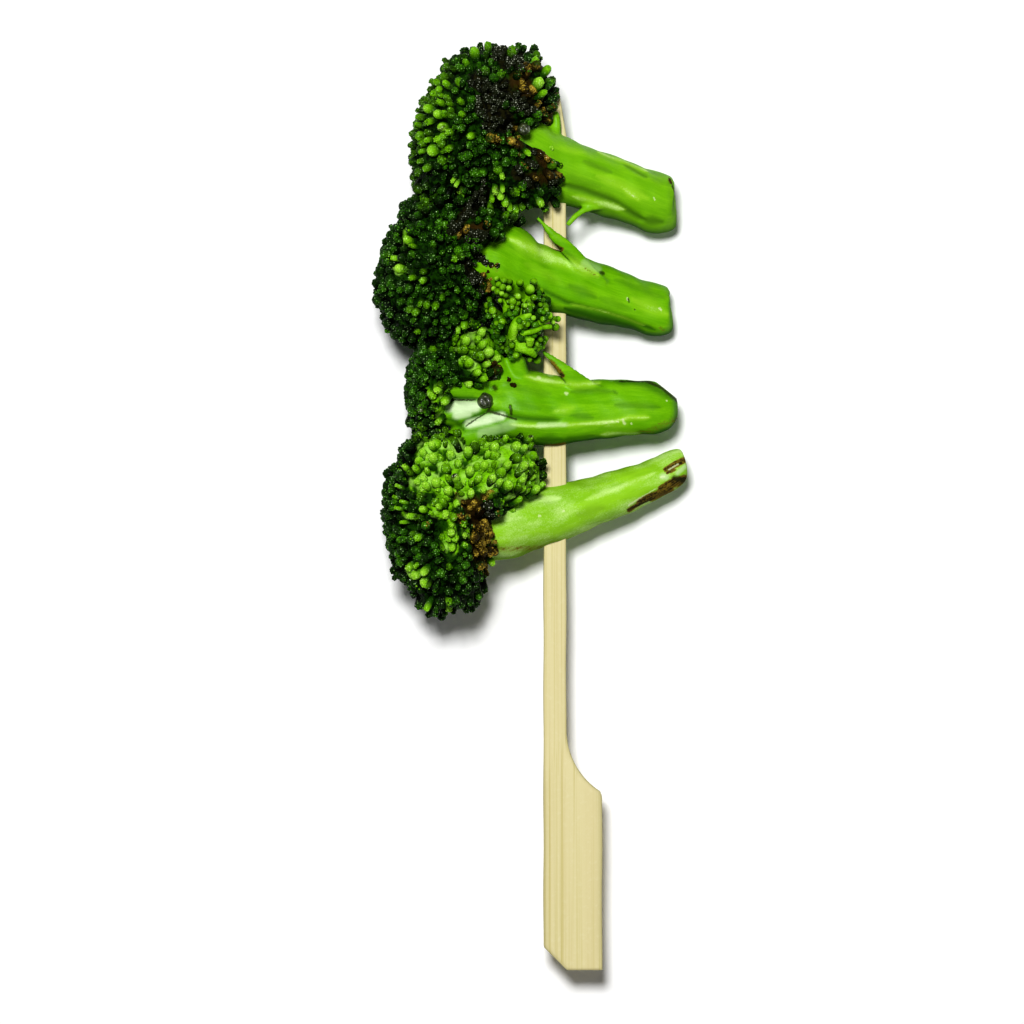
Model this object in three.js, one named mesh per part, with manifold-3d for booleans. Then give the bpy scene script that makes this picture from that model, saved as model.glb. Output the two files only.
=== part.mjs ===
// Grilled baby broccoli: four florets threaded side by side through their stems on one flat bamboo skewer.
// Sizes are in millimetres. The model is first laid out from the skewer: x is measured across it from the
// middle of its stick, y along it from the grip's end, and z up from the surface that the bunch lies on.
// At the end the whole group is moved so that the origin is below the middle of its bounding box.
import * as THREE from "three";
import { ConvexGeometry } from "three/addons/geometries/ConvexGeometry.js";
import { mergeVertices } from "three/addons/utils/BufferGeometryUtils.js";
import Module from "manifold-3d";

const wasm = await Module();
wasm.setup();

// Driving dimensions of the skewer, cut from one bamboo slat.
const SKEWER_LENGTH = 176.4;
const STICK_WIDTH = 4.6;
const STICK_THICKNESS = 2.6;
const GRIP_WIDTH = 11.8;
const GRIP_THICKNESS = 3.0;
const GRIP_LENGTH = 36;
const NECK_RADIUS = 15;
const NECK_SWEEP = 0.97;
const GRIP_CORNER_CUT = 4.6;
const SHOULDER_DROP = 0.8;
const TIP_LENGTH = 9.2;
const TIP_HALF_WIDTH = 0.8;
const SKEWER_Z = 10.6;
const EDGE_BEVEL = 0.25;

// Clearances between pieces, and the relief of the bud clusters that cover a head.
const GAP = 0.32;
const PRESS_GAP = 0.5;
const BUD_HEIGHT = 2.2;
const BUD_SIDES = 5;
const BUD_RING_SHARE = 0.33;
const BUD_RING_HEIGHT = 0.72;
const BUD_JITTER = 0.16;
const LOBE_GROOVE = 0.14;
const LOBE_GROOVE_WIDTH = 0.3;

// How deep a head is drawn in on its underside beside the stem, and between which cosines this sets in:
// towards the stem, and downwards.
const UNDERCUT = 0.42;
const UNDERCUT_FACING = [0.25, 0.8];
const UNDERCUT_BELOW = [0.05, 0.45];

// The branches that every crown spreads: their radii from root to tip, how far they lean on, how much of the
// head they reach through, and how far their middle sags.
const BRANCH_COUNT = 5;
const BRANCH_RADII = [3.4, 2.6, 1.9];
const BRANCH_RISE = 0.15;
const BRANCH_REACH = 0.66;
const BRANCH_SAG = 0.8;

// How finely the shapes are divided.
const STEM_SIDES = 12;
const TWIG_SIDES = 6;
const NECK_STEPS = 10;
const OUTLINE_STEPS = 12;
const SAME_POINT = 1e-3;
const SAME_DIRECTION = 1e-4;
const GOLDEN_ANGLE = Math.PI * (3 - Math.sqrt(5));

// Blocks larger than anything that they cut: the ground below the bunch, and a knife across a stem's end.
const GROUND_SIZE = 400;
const KNIFE_SIZE = 40;

// Numbers of the draws that turn the rings of buds, apart from those that shift the peaks.
const RING_DRAW = 500;

// The four florets, from the skewer's tip down. A stem is a row of [x, y, z, radius] from its cut end to the
// crown inside its head. An outline is the head seen from above, as [x, y] points, with a notch for the stem.
// A shoot is a thin leaf stalk that grows from the stem, in the same form as a stem, from root to tip, and
// flat is its thickness as a share of its width. A branch spreads from the crown into the head.
const FLORETS = [
  {
    name: "1",
    stem: [
      [24.1, 153.7, 4.9, 3.4],
      [22.9, 153.6, 5, 5.3],
      [16, 155.8, 6.8, 5.8],
      [9, 158.1, 8.9, 6],
      [0, 161, 11.1, 6.5],
      [-6, 164.2, 13, 6.8],
      [-11, 167.2, 14.5, 6.6],
    ],
    ridge: 0.05,
    shoots: [
      {
        flat: 0.8,
        rows: [
          [14, 153.8, 10.4, 1.3],
          [9, 153.4, 11.4, 1],
          [6.2, 152.4, 12.4, 0.75],
          [4.4, 151.3, 12.9, 0.65],
          [3.2, 150.1, 13.2, 0.62],
          [2.5, 149.2, 13.3, 0.55],
        ],
      },
    ],
    branches: [],
    heads: [
      {
        centre: [-14.2, 169.6, 15.2],
        outline: [
          [-2.2, 169.2], [0.2, 171.2], [1.2, 176], [0.4, 181], [-2.2, 184.6], [-7.6, 186.6], [-13, 186.6],
          [-18, 185.4], [-22.6, 182.4], [-26.6, 176.4], [-29, 171], [-29.7, 165.4], [-29.6, 158.4],
          [-28.4, 154.4], [-23, 152.8], [-15, 151.6], [-8, 149.6], [-3.4, 149.8], [0.6, 152.2],
          [2.3, 156.4], [2, 160.8], [-2.6, 163.8], [-6.6, 166.4],
        ],
        up: 15.4,
        down: 17.2,
        buds: 108,
        lobes: 13,
      },
    ],
  },
  {
    name: "2",
    stem: [
      [23.4, 131.7, 3.8, 2.8],
      [22.4, 131.6, 3.9, 4.4],
      [16, 133.3, 5.6, 5],
      [9, 135.2, 7.8, 5.6],
      [0, 137.8, 10, 6.2],
      [-6, 139.6, 11.8, 6.1],
      [-11, 142.4, 13.4, 6.8],
      [-15, 144, 14.4, 6.4],
    ],
    ridge: 0.08,
    shoots: [
      {
        flat: 0.45,
        rows: [
          [10, 137.4, 12.2, 1],
          [6, 140.9, 13.6, 1.5],
          [3, 144, 15, 1.35],
          [1, 145.9, 15.6, 1],
          [-0.8, 147.6, 16, 0.75],
          [-2.2, 149.2, 16.1, 0.55],
          [-3.6, 150.6, 16, 0.42],
        ],
      },
    ],
    branches: [],
    heads: [
      {
        centre: [-22, 140.2, 15.2],
        outline: [
          [-11.6, 147.4], [-7.2, 148.6], [-5.4, 151.6], [-8.6, 154.8], [-15, 156], [-22, 156.4],
          [-28, 155.8], [-32.2, 152.4], [-34.6, 147.4], [-36.4, 141.4], [-36.8, 135], [-35.2, 129.4],
          [-31.8, 125], [-27, 123.8], [-21, 124.8], [-14.6, 128.6], [-12, 134.2], [-12, 139.4],
          [-13.6, 142], [-14.8, 144.6],
        ],
        up: 15.2,
        down: 17.4,
        buds: 104,
        lobes: 13,
      },
    ],
  },
  {
    name: "3",
    stem: [
      [24.5, 112.5, 7.4, 1.8],
      [23.3, 112.5, 7.6, 3.7],
      [20.6, 112.5, 8.1, 4.9],
      [16, 112.5, 8.8, 5.4],
      [8, 112.1, 9.8, 5.8],
      [0, 111.8, 10.9, 6.7],
      [-7, 112.8, 12, 7.1],
      [-11, 113.4, 12.8, 6.4],
      [-15, 113.6, 13.4, 3.8],
    ],
    ridge: 0.06,
    slant: { at: [22.2, 116.4], facing: [0.62, 0.78] },
    shoots: [
      {
        flat: 0.4,
        rows: [
          [12, 115, 12.6, 1],
          [8, 116.2, 13.6, 1.5],
          [4.4, 118, 15, 1.8],
          [2, 120, 15.8, 1.5],
          [-0.6, 122.4, 16.3, 0.85],
          [-2.6, 123.9, 16.5, 0.45],
        ],
      },
    ],
    branches: [
      [[-8, 115, 14, 4.2], [-15, 112.6, 15, 3.1], [-21, 111.4, 15.4, 2.5], [-25, 113, 15, 2]],
      [[-8, 112, 13.4, 4.2], [-14, 108.6, 14.6, 3], [-19, 106.4, 14.4, 2.6], [-23, 105, 12, 2]],
      [[-8, 115, 13, 4], [-11.6, 119.4, 15, 3], [-13.6, 124, 16.6, 2.4]],
      [[-6, 116, 13, 3], [-6.6, 120.4, 15.4, 2.2], [-6.4, 126, 17, 2]],
    ],
    heads: [
      {
        centre: [-22.6, 119.4, 13.4],
        outline: [
          [-8.2, 122], [-7.4, 125.4], [-9, 129.4], [-13, 131.4], [-18.6, 130.6], [-24, 128],
          [-28.6, 124.6], [-30.2, 119.6], [-30.5, 114.4], [-30, 110], [-28.6, 106.2], [-25, 106.2],
          [-22.2, 108.6], [-21.8, 112.4], [-20.2, 115], [-16.6, 116.4], [-12, 117.2], [-8.6, 118.2],
        ],
        up: 12.6,
        down: 13.2,
        buds: 72,
        lobes: 9,
      },
      {
        centre: [-7.2, 129.8, 18],
        outline: [
          [-13.6, 125], [-15.8, 131], [-13.2, 136.8], [-9.2, 139.4], [-4.6, 138.8],
          [-1, 135], [1.4, 130.4], [-0.8, 126.4], [-3, 122], [-6, 121.2], [-10, 122],
        ],
        up: 6.8,
        down: 6.6,
        buds: 38,
        lobes: 5,
      },
    ],
  },
  {
    name: "4",
    stem: [
      [26, 101.4, 6.7, 2.8],
      [25.1, 101.2, 6.85, 3.3],
      [21.4, 99, 7.3, 3.8],
      [15, 96.3, 8.3, 4.3],
      [8, 93.9, 9.4, 4.8],
      [0, 91.4, 10.6, 5.6],
      [-6, 90, 11.8, 6.3],
      [-11, 88.9, 13, 6.8],
      [-15, 88.4, 14, 6.2],
    ],
    ridge: 0.05,
    shoots: [],
    branches: [],
    heads: [
      {
        centre: [-20.6, 90.6, 15.6],
        outline: [
          [-11.2, 90], [-8, 92.2], [-5.4, 94.6], [-1.8, 96.8], [-1.2, 100.2], [-0.9, 103.6],
          [-2.4, 107], [-5.6, 108.8], [-11, 108.4], [-16.2, 108], [-21, 110], [-26, 109.4],
          [-30.6, 106.6], [-33.6, 102.6], [-35.2, 97.4], [-35.2, 91], [-34.4, 85], [-33, 79.2],
          [-29.2, 75.2], [-26.4, 70.2], [-21, 69.8], [-16.6, 70.4], [-14.2, 74.4], [-13.6, 78],
          [-11.4, 82.4], [-11, 86],
        ],
        up: 15.6,
        down: 17.8,
        buds: 118,
        lobes: 14,
      },
    ],
  },
];

// A repeatable draw from 0 to 1 for a whole number.
function draw(n) {
  const wave = Math.sin(n * 12.9898 + 78.233) * 43758.5453;
  return wave - Math.floor(wave);
}

// Point number i of count, spread evenly over a unit sphere along a golden spiral.
function spiralPoint(i, count) {
  const z = 1 - (2 * i + 1) / count;
  const across = Math.sqrt(1 - z * z);
  const turn = i * GOLDEN_ANGLE;
  return new THREE.Vector3(across * Math.cos(turn), across * Math.sin(turn), z);
}

// A level direction square to the given one, or one square to x where the given one is steep.
function sidewaysOf(direction) {
  const steep = Math.abs(direction.z) >= 0.8;
  const away = steep ? new THREE.Vector3(1, 0, 0) : new THREE.Vector3(0, 0, 1);
  return new THREE.Vector3().crossVectors(direction, away).normalize();
}

// A closed geometry as a solid: only positions are kept, doubles are merged and collapsed faces dropped.
function toSolid(geometry) {
  const bare = new THREE.BufferGeometry();
  bare.setAttribute("position", geometry.getAttribute("position"));
  if (geometry.index) bare.setIndex(geometry.index);
  const merged = mergeVertices(bare, SAME_POINT);
  const corners = Array.from(merged.index.array);
  const kept = [];
  for (let i = 0; i < corners.length; i += 3) {
    const [a, b, c] = corners.slice(i, i + 3);
    if (a !== b && b !== c && a !== c) kept.push(a, b, c);
  }
  const vertProperties = merged.attributes.position.array;
  const solid = new wasm.Manifold(
    new wasm.Mesh({ numProp: 3, vertProperties, triVerts: new Uint32Array(kept) }),
  );
  if (solid.volume() >= 0) return solid;
  return new wasm.Manifold(
    new wasm.Mesh({ numProp: 3, vertProperties, triVerts: new Uint32Array(kept.reverse()) }),
  );
}

function toGeometry(solid) {
  const mesh = solid.getMesh();
  const geometry = new THREE.BufferGeometry();
  geometry.setAttribute("position", new THREE.BufferAttribute(mesh.vertProperties, 3));
  geometry.setIndex(new THREE.BufferAttribute(mesh.triVerts, 1));
  geometry.computeVertexNormals();
  return geometry;
}

// The largest of a solid's separate bodies: loose scraps left by a cut are dropped.
function mainBody(solid) {
  const bodies = solid.decompose();
  return bodies.reduce((best, body) => (body.volume() > best.volume() ? body : best));
}

// The skewer's outline as seen from above, grown by a margin where it makes room for itself in a floret.
function stickShape(grow) {
  const half = STICK_WIDTH / 2 + grow;
  const shape = new THREE.Shape();
  shape.moveTo(-half, GRIP_LENGTH / 2);
  shape.lineTo(half, GRIP_LENGTH / 2);
  shape.lineTo(half, SKEWER_LENGTH - TIP_LENGTH);
  shape.lineTo(TIP_HALF_WIDTH + grow, SKEWER_LENGTH + grow);
  shape.lineTo(-TIP_HALF_WIDTH - grow, SKEWER_LENGTH + grow);
  shape.lineTo(-half, SKEWER_LENGTH - TIP_LENGTH);
  shape.closePath();
  return shape;
}

// The grip: one straight edge in line with the stick, a hollow neck on the other side and a cut corner.
function gripShape() {
  const left = -STICK_WIDTH / 2;
  const right = left + GRIP_WIDTH;
  const neckX = STICK_WIDTH / 2 + NECK_RADIUS;
  const neckY = GRIP_LENGTH + NECK_RADIUS * Math.sin(NECK_SWEEP);
  const shape = new THREE.Shape();
  shape.moveTo(left, GRIP_CORNER_CUT);
  shape.lineTo(left + GRIP_CORNER_CUT, 0);
  shape.lineTo(right, 0);
  shape.lineTo(right, GRIP_LENGTH - SHOULDER_DROP);
  shape.absarc(neckX, neckY, NECK_RADIUS, Math.PI + NECK_SWEEP, Math.PI, true);
  shape.lineTo(left, neckY);
  shape.closePath();
  return shape;
}

function slab(shape, thickness, bevel) {
  const geometry = new THREE.ExtrudeGeometry(shape, {
    depth: thickness - 2 * bevel,
    bevelEnabled: bevel > 0,
    bevelThickness: bevel,
    bevelSize: bevel,
    bevelOffset: -bevel,
    bevelSegments: 1,
    curveSegments: NECK_STEPS,
  });
  geometry.translate(0, 0, SKEWER_Z - thickness / 2 + bevel);
  return toSolid(geometry);
}

function skewerSolid() {
  const stick = slab(stickShape(0), STICK_THICKNESS, EDGE_BEVEL);
  return stick.add(slab(gripShape(), GRIP_THICKNESS, EDGE_BEVEL));
}

function skewerRoom() {
  return slab(stickShape(GAP), STICK_THICKNESS + 2 * GAP, 0);
}

// A stem or twig: a lathed profile whose rings are carried along a smooth line through the given
// [x, y, z, radius] rows. ridge raises three low ribs along it, flat makes it thinner upwards than across,
// and grow widens it for a clearance.
function taperedStem(rows, sides, ridge, flat, grow) {
  const line = new THREE.CatmullRomCurve3(rows.map(([x, y, z]) => new THREE.Vector3(x, y, z)));
  const radii = new THREE.SplineCurve(rows.map((row, i) => new THREE.Vector2(i, row[3])));
  const steps = (rows.length - 1) * (sides > TWIG_SIDES ? 2 : 1);
  const profile = [new THREE.Vector2(0, 0)];
  for (let i = 0; i <= steps; i++) profile.push(new THREE.Vector2(1, i));
  profile.push(new THREE.Vector2(0, steps));
  const geometry = new THREE.LatheGeometry(profile, sides);
  const position = geometry.getAttribute("position");
  const point = new THREE.Vector3();
  for (let i = 0; i < position.count; i++) {
    point.fromBufferAttribute(position, i);
    const share = point.y / steps;
    const tangent = line.getTangent(share);
    const side = sidewaysOf(tangent);
    const top = new THREE.Vector3().crossVectors(side, tangent);
    const turn = Math.atan2(point.z, point.x);
    const across = Math.hypot(point.x, point.z);
    const rib = 1 + ridge * Math.cos(3 * turn + rows[0][1]) + 0.5 * ridge * Math.cos(2 * turn);
    const radius = radii.getPoint(share).y * rib;
    const end = share === 0 ? -grow : share === 1 ? grow : 0;
    const at = line.getPoint(share).addScaledVector(tangent, end);
    at.addScaledVector(side, across * (radius + grow) * Math.cos(turn));
    at.addScaledVector(top, across * (radius * flat + grow) * Math.sin(turn));
    position.setXYZ(i, at.x, at.y, at.z);
  }
  return toSolid(geometry);
}

// The head's radius towards each direction from its centre: an outline seen from above, domed up and down,
// and drawn in on the underside beside the stem, where the branches show.
function domeRadius(head, stemSide = null) {
  const line = new THREE.CatmullRomCurve3(
    head.outline.map(([x, y]) => new THREE.Vector3(x - head.centre[0], y - head.centre[1], 0)),
    true,
    "centripetal",
  );
  const samples = line.getPoints(head.outline.length * OUTLINE_STEPS).map((p) => ({
    turn: Math.atan2(p.y, p.x),
    reach: Math.hypot(p.x, p.y),
  }));
  samples.sort((a, b) => a.turn - b.turn);
  return (direction) => {
    const turn = Math.atan2(direction.y, direction.x);
    let after = samples.findIndex((s) => s.turn > turn);
    if (after < 0) after = 0;
    const a = samples[(after + samples.length - 1) % samples.length];
    const b = samples[after];
    const span = (b.turn - a.turn + 2 * Math.PI) % (2 * Math.PI) || 1;
    const share = ((turn - a.turn + 2 * Math.PI) % (2 * Math.PI)) / span;
    const reach = a.reach + (b.reach - a.reach) * Math.min(1, share) - BUD_HEIGHT;
    const rise = (direction.z > 0 ? head.up : head.down) - BUD_HEIGHT;
    const flat = Math.hypot(direction.x, direction.y);
    const radius = 1 / Math.hypot(flat / reach, direction.z / rise);
    if (!stemSide) return radius;
    const facing = THREE.MathUtils.smoothstep(direction.dot(stemSide), ...UNDERCUT_FACING);
    const below = THREE.MathUtils.smoothstep(-direction.z, ...UNDERCUT_BELOW);
    return radius * (1 - UNDERCUT * facing * below);
  };
}

// Grooves between a head's branches: the radius dips where two lobe directions are equally near.
function lobeShare(head) {
  const lobes = [...Array(head.lobes).keys()].map((i) => spiralPoint(i, head.lobes));
  return (direction) => {
    const angles = lobes.map((lobe) => lobe.angleTo(direction)).sort((a, b) => a - b);
    const inside = Math.min(1, (angles[1] - angles[0]) / LOBE_GROOVE_WIDTH);
    return 1 - LOBE_GROOVE * (1 - inside) ** 2;
  };
}

// A head covered with bud clusters. Every cluster is a peak with a ring round it, raised over the valleys
// between them, and the faces are those of the convex hull of all these directions on a unit sphere.
function headSolid(head, stemSide, grow) {
  const dome = domeRadius(head, stemSide);
  const lobes = lobeShare(head);
  const centre = new THREE.Vector3(...head.centre);
  const spacing = Math.sqrt((4 * Math.PI) / head.buds);
  const peaks = [];
  for (let i = 0; i < head.buds; i++) {
    const peak = spiralPoint(i, head.buds);
    const side = sidewaysOf(peak);
    peak.applyAxisAngle(side, (draw(i) - 0.5) * 2 * BUD_JITTER * spacing);
    peaks.push(peak);
  }
  const points = peaks.map((peak) => ({ at: peak, raised: 1 }));
  peaks.forEach((peak, i) => {
    for (let k = 0; k < BUD_SIDES; k++) {
      const turn = ((k + draw(i + RING_DRAW)) * 2 * Math.PI) / BUD_SIDES;
      const side = sidewaysOf(peak).applyAxisAngle(peak, turn);
      const ring = peak.clone().applyAxisAngle(side, BUD_RING_SHARE * spacing);
      points.push({ at: ring, raised: BUD_RING_HEIGHT });
    }
  });
  for (const valley of valleysBetween(peaks)) points.push({ at: valley, raised: 0 });
  const geometry = new ConvexGeometry(points.map((point) => point.at));
  const position = geometry.getAttribute("position");
  const raisedAt = new Map(points.map((point) => [keyOf(point.at), point.raised]));
  for (let i = 0; i < position.count; i++) {
    const direction = new THREE.Vector3().fromBufferAttribute(position, i);
    const raised = raisedAt.get(keyOf(direction)) ?? 0;
    const radius = dome(direction) * lobes(direction) + BUD_HEIGHT * raised + grow;
    const at = centre.clone().addScaledVector(direction, radius);
    position.setXYZ(i, at.x, at.y, at.z);
  }
  return toSolid(geometry);
}

// A direction as text, so that the same one found twice counts once.
function keyOf(point) {
  return [point.x, point.y, point.z].map((v) => Math.round(v / SAME_DIRECTION)).join(" ");
}

// The low points between neighbouring peaks: one between each pair and one in the middle of each three.
function valleysBetween(peaks) {
  const net = new ConvexGeometry(peaks).getAttribute("position");
  const valleys = new Map();
  for (let i = 0; i < net.count; i += 3) {
    const corners = [0, 1, 2].map((k) => new THREE.Vector3().fromBufferAttribute(net, i + k));
    const middle = corners[0].clone().add(corners[1]).add(corners[2]).normalize();
    valleys.set(keyOf(middle), middle);
    corners.forEach((corner, k) => {
      const between = corner.clone().add(corners[(k + 1) % 3]).normalize();
      valleys.set(keyOf(between), between);
    });
  }
  return [...valleys.values()];
}

// The branches that spread from the crown of a stem into the lobes round the rim of its head.
function branchRows(floret, k) {
  const head = floret.heads[0];
  const centre = new THREE.Vector3(...head.centre);
  const neck = new THREE.Vector3(...floret.stem[floret.stem.length - 2].slice(0, 3));
  const axis = centre.clone().sub(neck).normalize();
  const side = sidewaysOf(axis).applyAxisAngle(axis, ((k + 0.5) * 2 * Math.PI) / BRANCH_COUNT);
  const out = side.addScaledVector(axis, BRANCH_RISE).normalize();
  const tip = centre.clone().addScaledVector(out, domeRadius(head)(out) * BRANCH_REACH);
  const middle = neck.clone().lerp(tip, 0.5).addScaledVector(axis, -BRANCH_SAG);
  return [neck, middle, tip].map((point, i) => [...point, BRANCH_RADII[i]]);
}

function stalkSolid(floret, grow) {
  let solid = taperedStem(floret.stem, STEM_SIDES, floret.ridge, 1, grow);
  if (floret.slant) solid = solid.subtract(slantCutter(floret, grow));
  for (const shoot of floret.shoots) {
    solid = solid.add(taperedStem(shoot.rows, TWIG_SIDES, 0, shoot.flat, grow));
  }
  const spread = [...Array(BRANCH_COUNT).keys()].map((k) => branchRows(floret, k));
  for (const rows of [...spread, ...floret.branches]) {
    solid = solid.add(taperedStem(rows, TWIG_SIDES, 0, 1, grow));
  }
  return solid;
}

// A knife cut across the end of a stem that isn't square to it.
function slantCutter(floret, grow) {
  const block = new THREE.BoxGeometry(KNIFE_SIZE, KNIFE_SIZE, KNIFE_SIZE);
  block.translate(KNIFE_SIZE / 2 + grow, 0, floret.stem[0][2]);
  block.rotateZ(Math.atan2(floret.slant.facing[1], floret.slant.facing[0]));
  block.translate(...floret.slant.at, 0);
  return toSolid(block);
}

const groundBlock = new THREE.BoxGeometry(GROUND_SIZE, GROUND_SIZE, GROUND_SIZE);
groundBlock.translate(0, SKEWER_LENGTH / 2, -GROUND_SIZE / 2);
const ground = toSolid(groundBlock);
const stickRoom = skewerRoom();
const stalkRooms = FLORETS.map((floret) => stalkSolid(floret, GAP));

const looks = {
  stalk: new THREE.MeshStandardMaterial({ color: 0x72b81c, roughness: 0.35, metalness: 0 }),
  head: new THREE.MeshStandardMaterial({ color: 0x1f5a10, roughness: 0.5, metalness: 0 }),
  bamboo: new THREE.MeshStandardMaterial({ color: 0xe6d79a, roughness: 0.6, metalness: 0 }),
};

const bunch = new THREE.Group();

function addPiece(name, solid, material) {
  const mesh = new THREE.Mesh(toGeometry(solid), material);
  mesh.name = name;
  bunch.add(mesh);
}

// One head of a floret, or its side cluster, as it is or grown where a neighbour has to make room for it.
function headOf(floret, part, grow) {
  const root = new THREE.Vector3(...floret.stem[floret.stem.length - 4].slice(0, 3));
  const stemSide = root.sub(new THREE.Vector3(...part.centre)).normalize();
  return headSolid(part, stemSide, grow);
}

// Neighbouring heads press on each other: the first named in each row gives way to the second.
const [one, two, three, four] = FLORETS;
const [threeMain, threeSide] = three.heads;
const twoRoom = headOf(two, two.heads[0], PRESS_GAP);
const sideRoom = headOf(three, threeSide, PRESS_GAP);
const heads = [
  headOf(one, one.heads[0], 0),
  headOf(two, two.heads[0], 0)
    .subtract(headOf(one, one.heads[0], PRESS_GAP))
    .subtract(sideRoom),
  headOf(three, threeMain, 0)
    .subtract(twoRoom)
    .subtract(headOf(four, four.heads[0], PRESS_GAP))
    .add(headOf(three, threeSide, 0)),
  headOf(four, four.heads[0], 0),
];

addPiece("skewer", skewerSolid(), looks.bamboo);
FLORETS.forEach((floret, i) => {
  const stalk = stalkSolid(floret, 0).subtract(stickRoom).subtract(ground);
  addPiece(`stalk_${floret.name}`, mainBody(stalk), looks.stalk);
  let head = heads[i].subtract(stickRoom).subtract(ground);
  for (const room of stalkRooms) head = head.subtract(room);
  addPiece(`head_${floret.name}`, mainBody(head), looks.head);
});

const bounds = new THREE.Box3().setFromObject(bunch);
const middle = bounds.getCenter(new THREE.Vector3());
bunch.position.set(-middle.x, -middle.y, -bounds.min.z);

export default bunch;
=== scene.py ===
"""Grilled baby broccoli: four florets threaded side by side through their stems on one flat bamboo skewer.

Lengths in this file are millimetres in the bunch's own layout: x across the skewer from the middle of its
stick, y along it from the grip's end and z up from the surface. place() moves them into the frame, in metres.
"""

import math

import bpy
import numpy as np
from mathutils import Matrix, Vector


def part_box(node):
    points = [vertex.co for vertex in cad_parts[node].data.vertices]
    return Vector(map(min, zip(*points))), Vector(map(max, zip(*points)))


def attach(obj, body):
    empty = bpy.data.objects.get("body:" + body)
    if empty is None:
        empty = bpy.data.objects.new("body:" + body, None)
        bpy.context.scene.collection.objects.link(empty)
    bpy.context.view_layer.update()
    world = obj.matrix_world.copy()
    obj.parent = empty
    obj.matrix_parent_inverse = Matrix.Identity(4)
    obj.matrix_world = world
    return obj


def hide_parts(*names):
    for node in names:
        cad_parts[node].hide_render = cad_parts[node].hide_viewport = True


bl_info = {
    "name": "Grilled Baby Broccoli Bunch",
    "version": (1, 0, 0),
    "blender": (4, 5, 0),
    "location": "View3D > Sidebar > Bunch",
    "description": "Dresses a bunch of grilled baby broccoli florets on a flat bamboo skewer",
    "category": "Object",
}

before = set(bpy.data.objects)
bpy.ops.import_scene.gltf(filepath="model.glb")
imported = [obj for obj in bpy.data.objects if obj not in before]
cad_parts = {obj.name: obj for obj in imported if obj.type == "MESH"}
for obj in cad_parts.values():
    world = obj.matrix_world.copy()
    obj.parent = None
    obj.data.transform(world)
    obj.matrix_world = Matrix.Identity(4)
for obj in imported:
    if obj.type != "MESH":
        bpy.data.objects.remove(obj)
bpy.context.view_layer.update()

MM = 0.001
GOLDEN_ANGLE = math.pi * (3 - math.sqrt(5))

# The skewer, cut from one slat.
SKEWER_LENGTH = 176.4
STICK_WIDTH = 4.6
STICK_THICKNESS = 2.6
GRIP_WIDTH = 11.8
GRIP_THICKNESS = 3.0
GRIP_LENGTH = 36.0
NECK_RADIUS = 15.0
NECK_SWEEP = 0.97
GRIP_CORNER_CUT = 4.6
TIP_LENGTH = 9.2
TIP_HALF_WIDTH = 0.8
SKEWER_Z = 10.6
SKEWER_LOW = (-STICK_WIDTH / 2, 0.0, SKEWER_Z - GRIP_THICKNESS / 2)
SHIFT = np.array(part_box("skewer")[0]) / MM - np.array(SKEWER_LOW)

# The relief of the clusters on a head, as in the solid that each head is measured by.
CLUSTER_HEIGHT = 2.2
CLUSTER_JITTER = 0.16
LOBE_GROOVE = 0.14
LOBE_GROOVE_WIDTH = 0.3
UNDERCUT = 0.42
BRANCH_COUNT = 5
BRANCH_RISE = 0.15
BRANCH_REACH = 0.66

# The height below which the marks seen from above fade out.
UNDERSIDE_Z = 6.0

# The photograph's frame: its width at the height of the skewer, and the layout point in its middle.
PHOTO_WIDTH = 204.8
PHOTO_MIDDLE = (-8.6, 91.8, 15.0)

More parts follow.
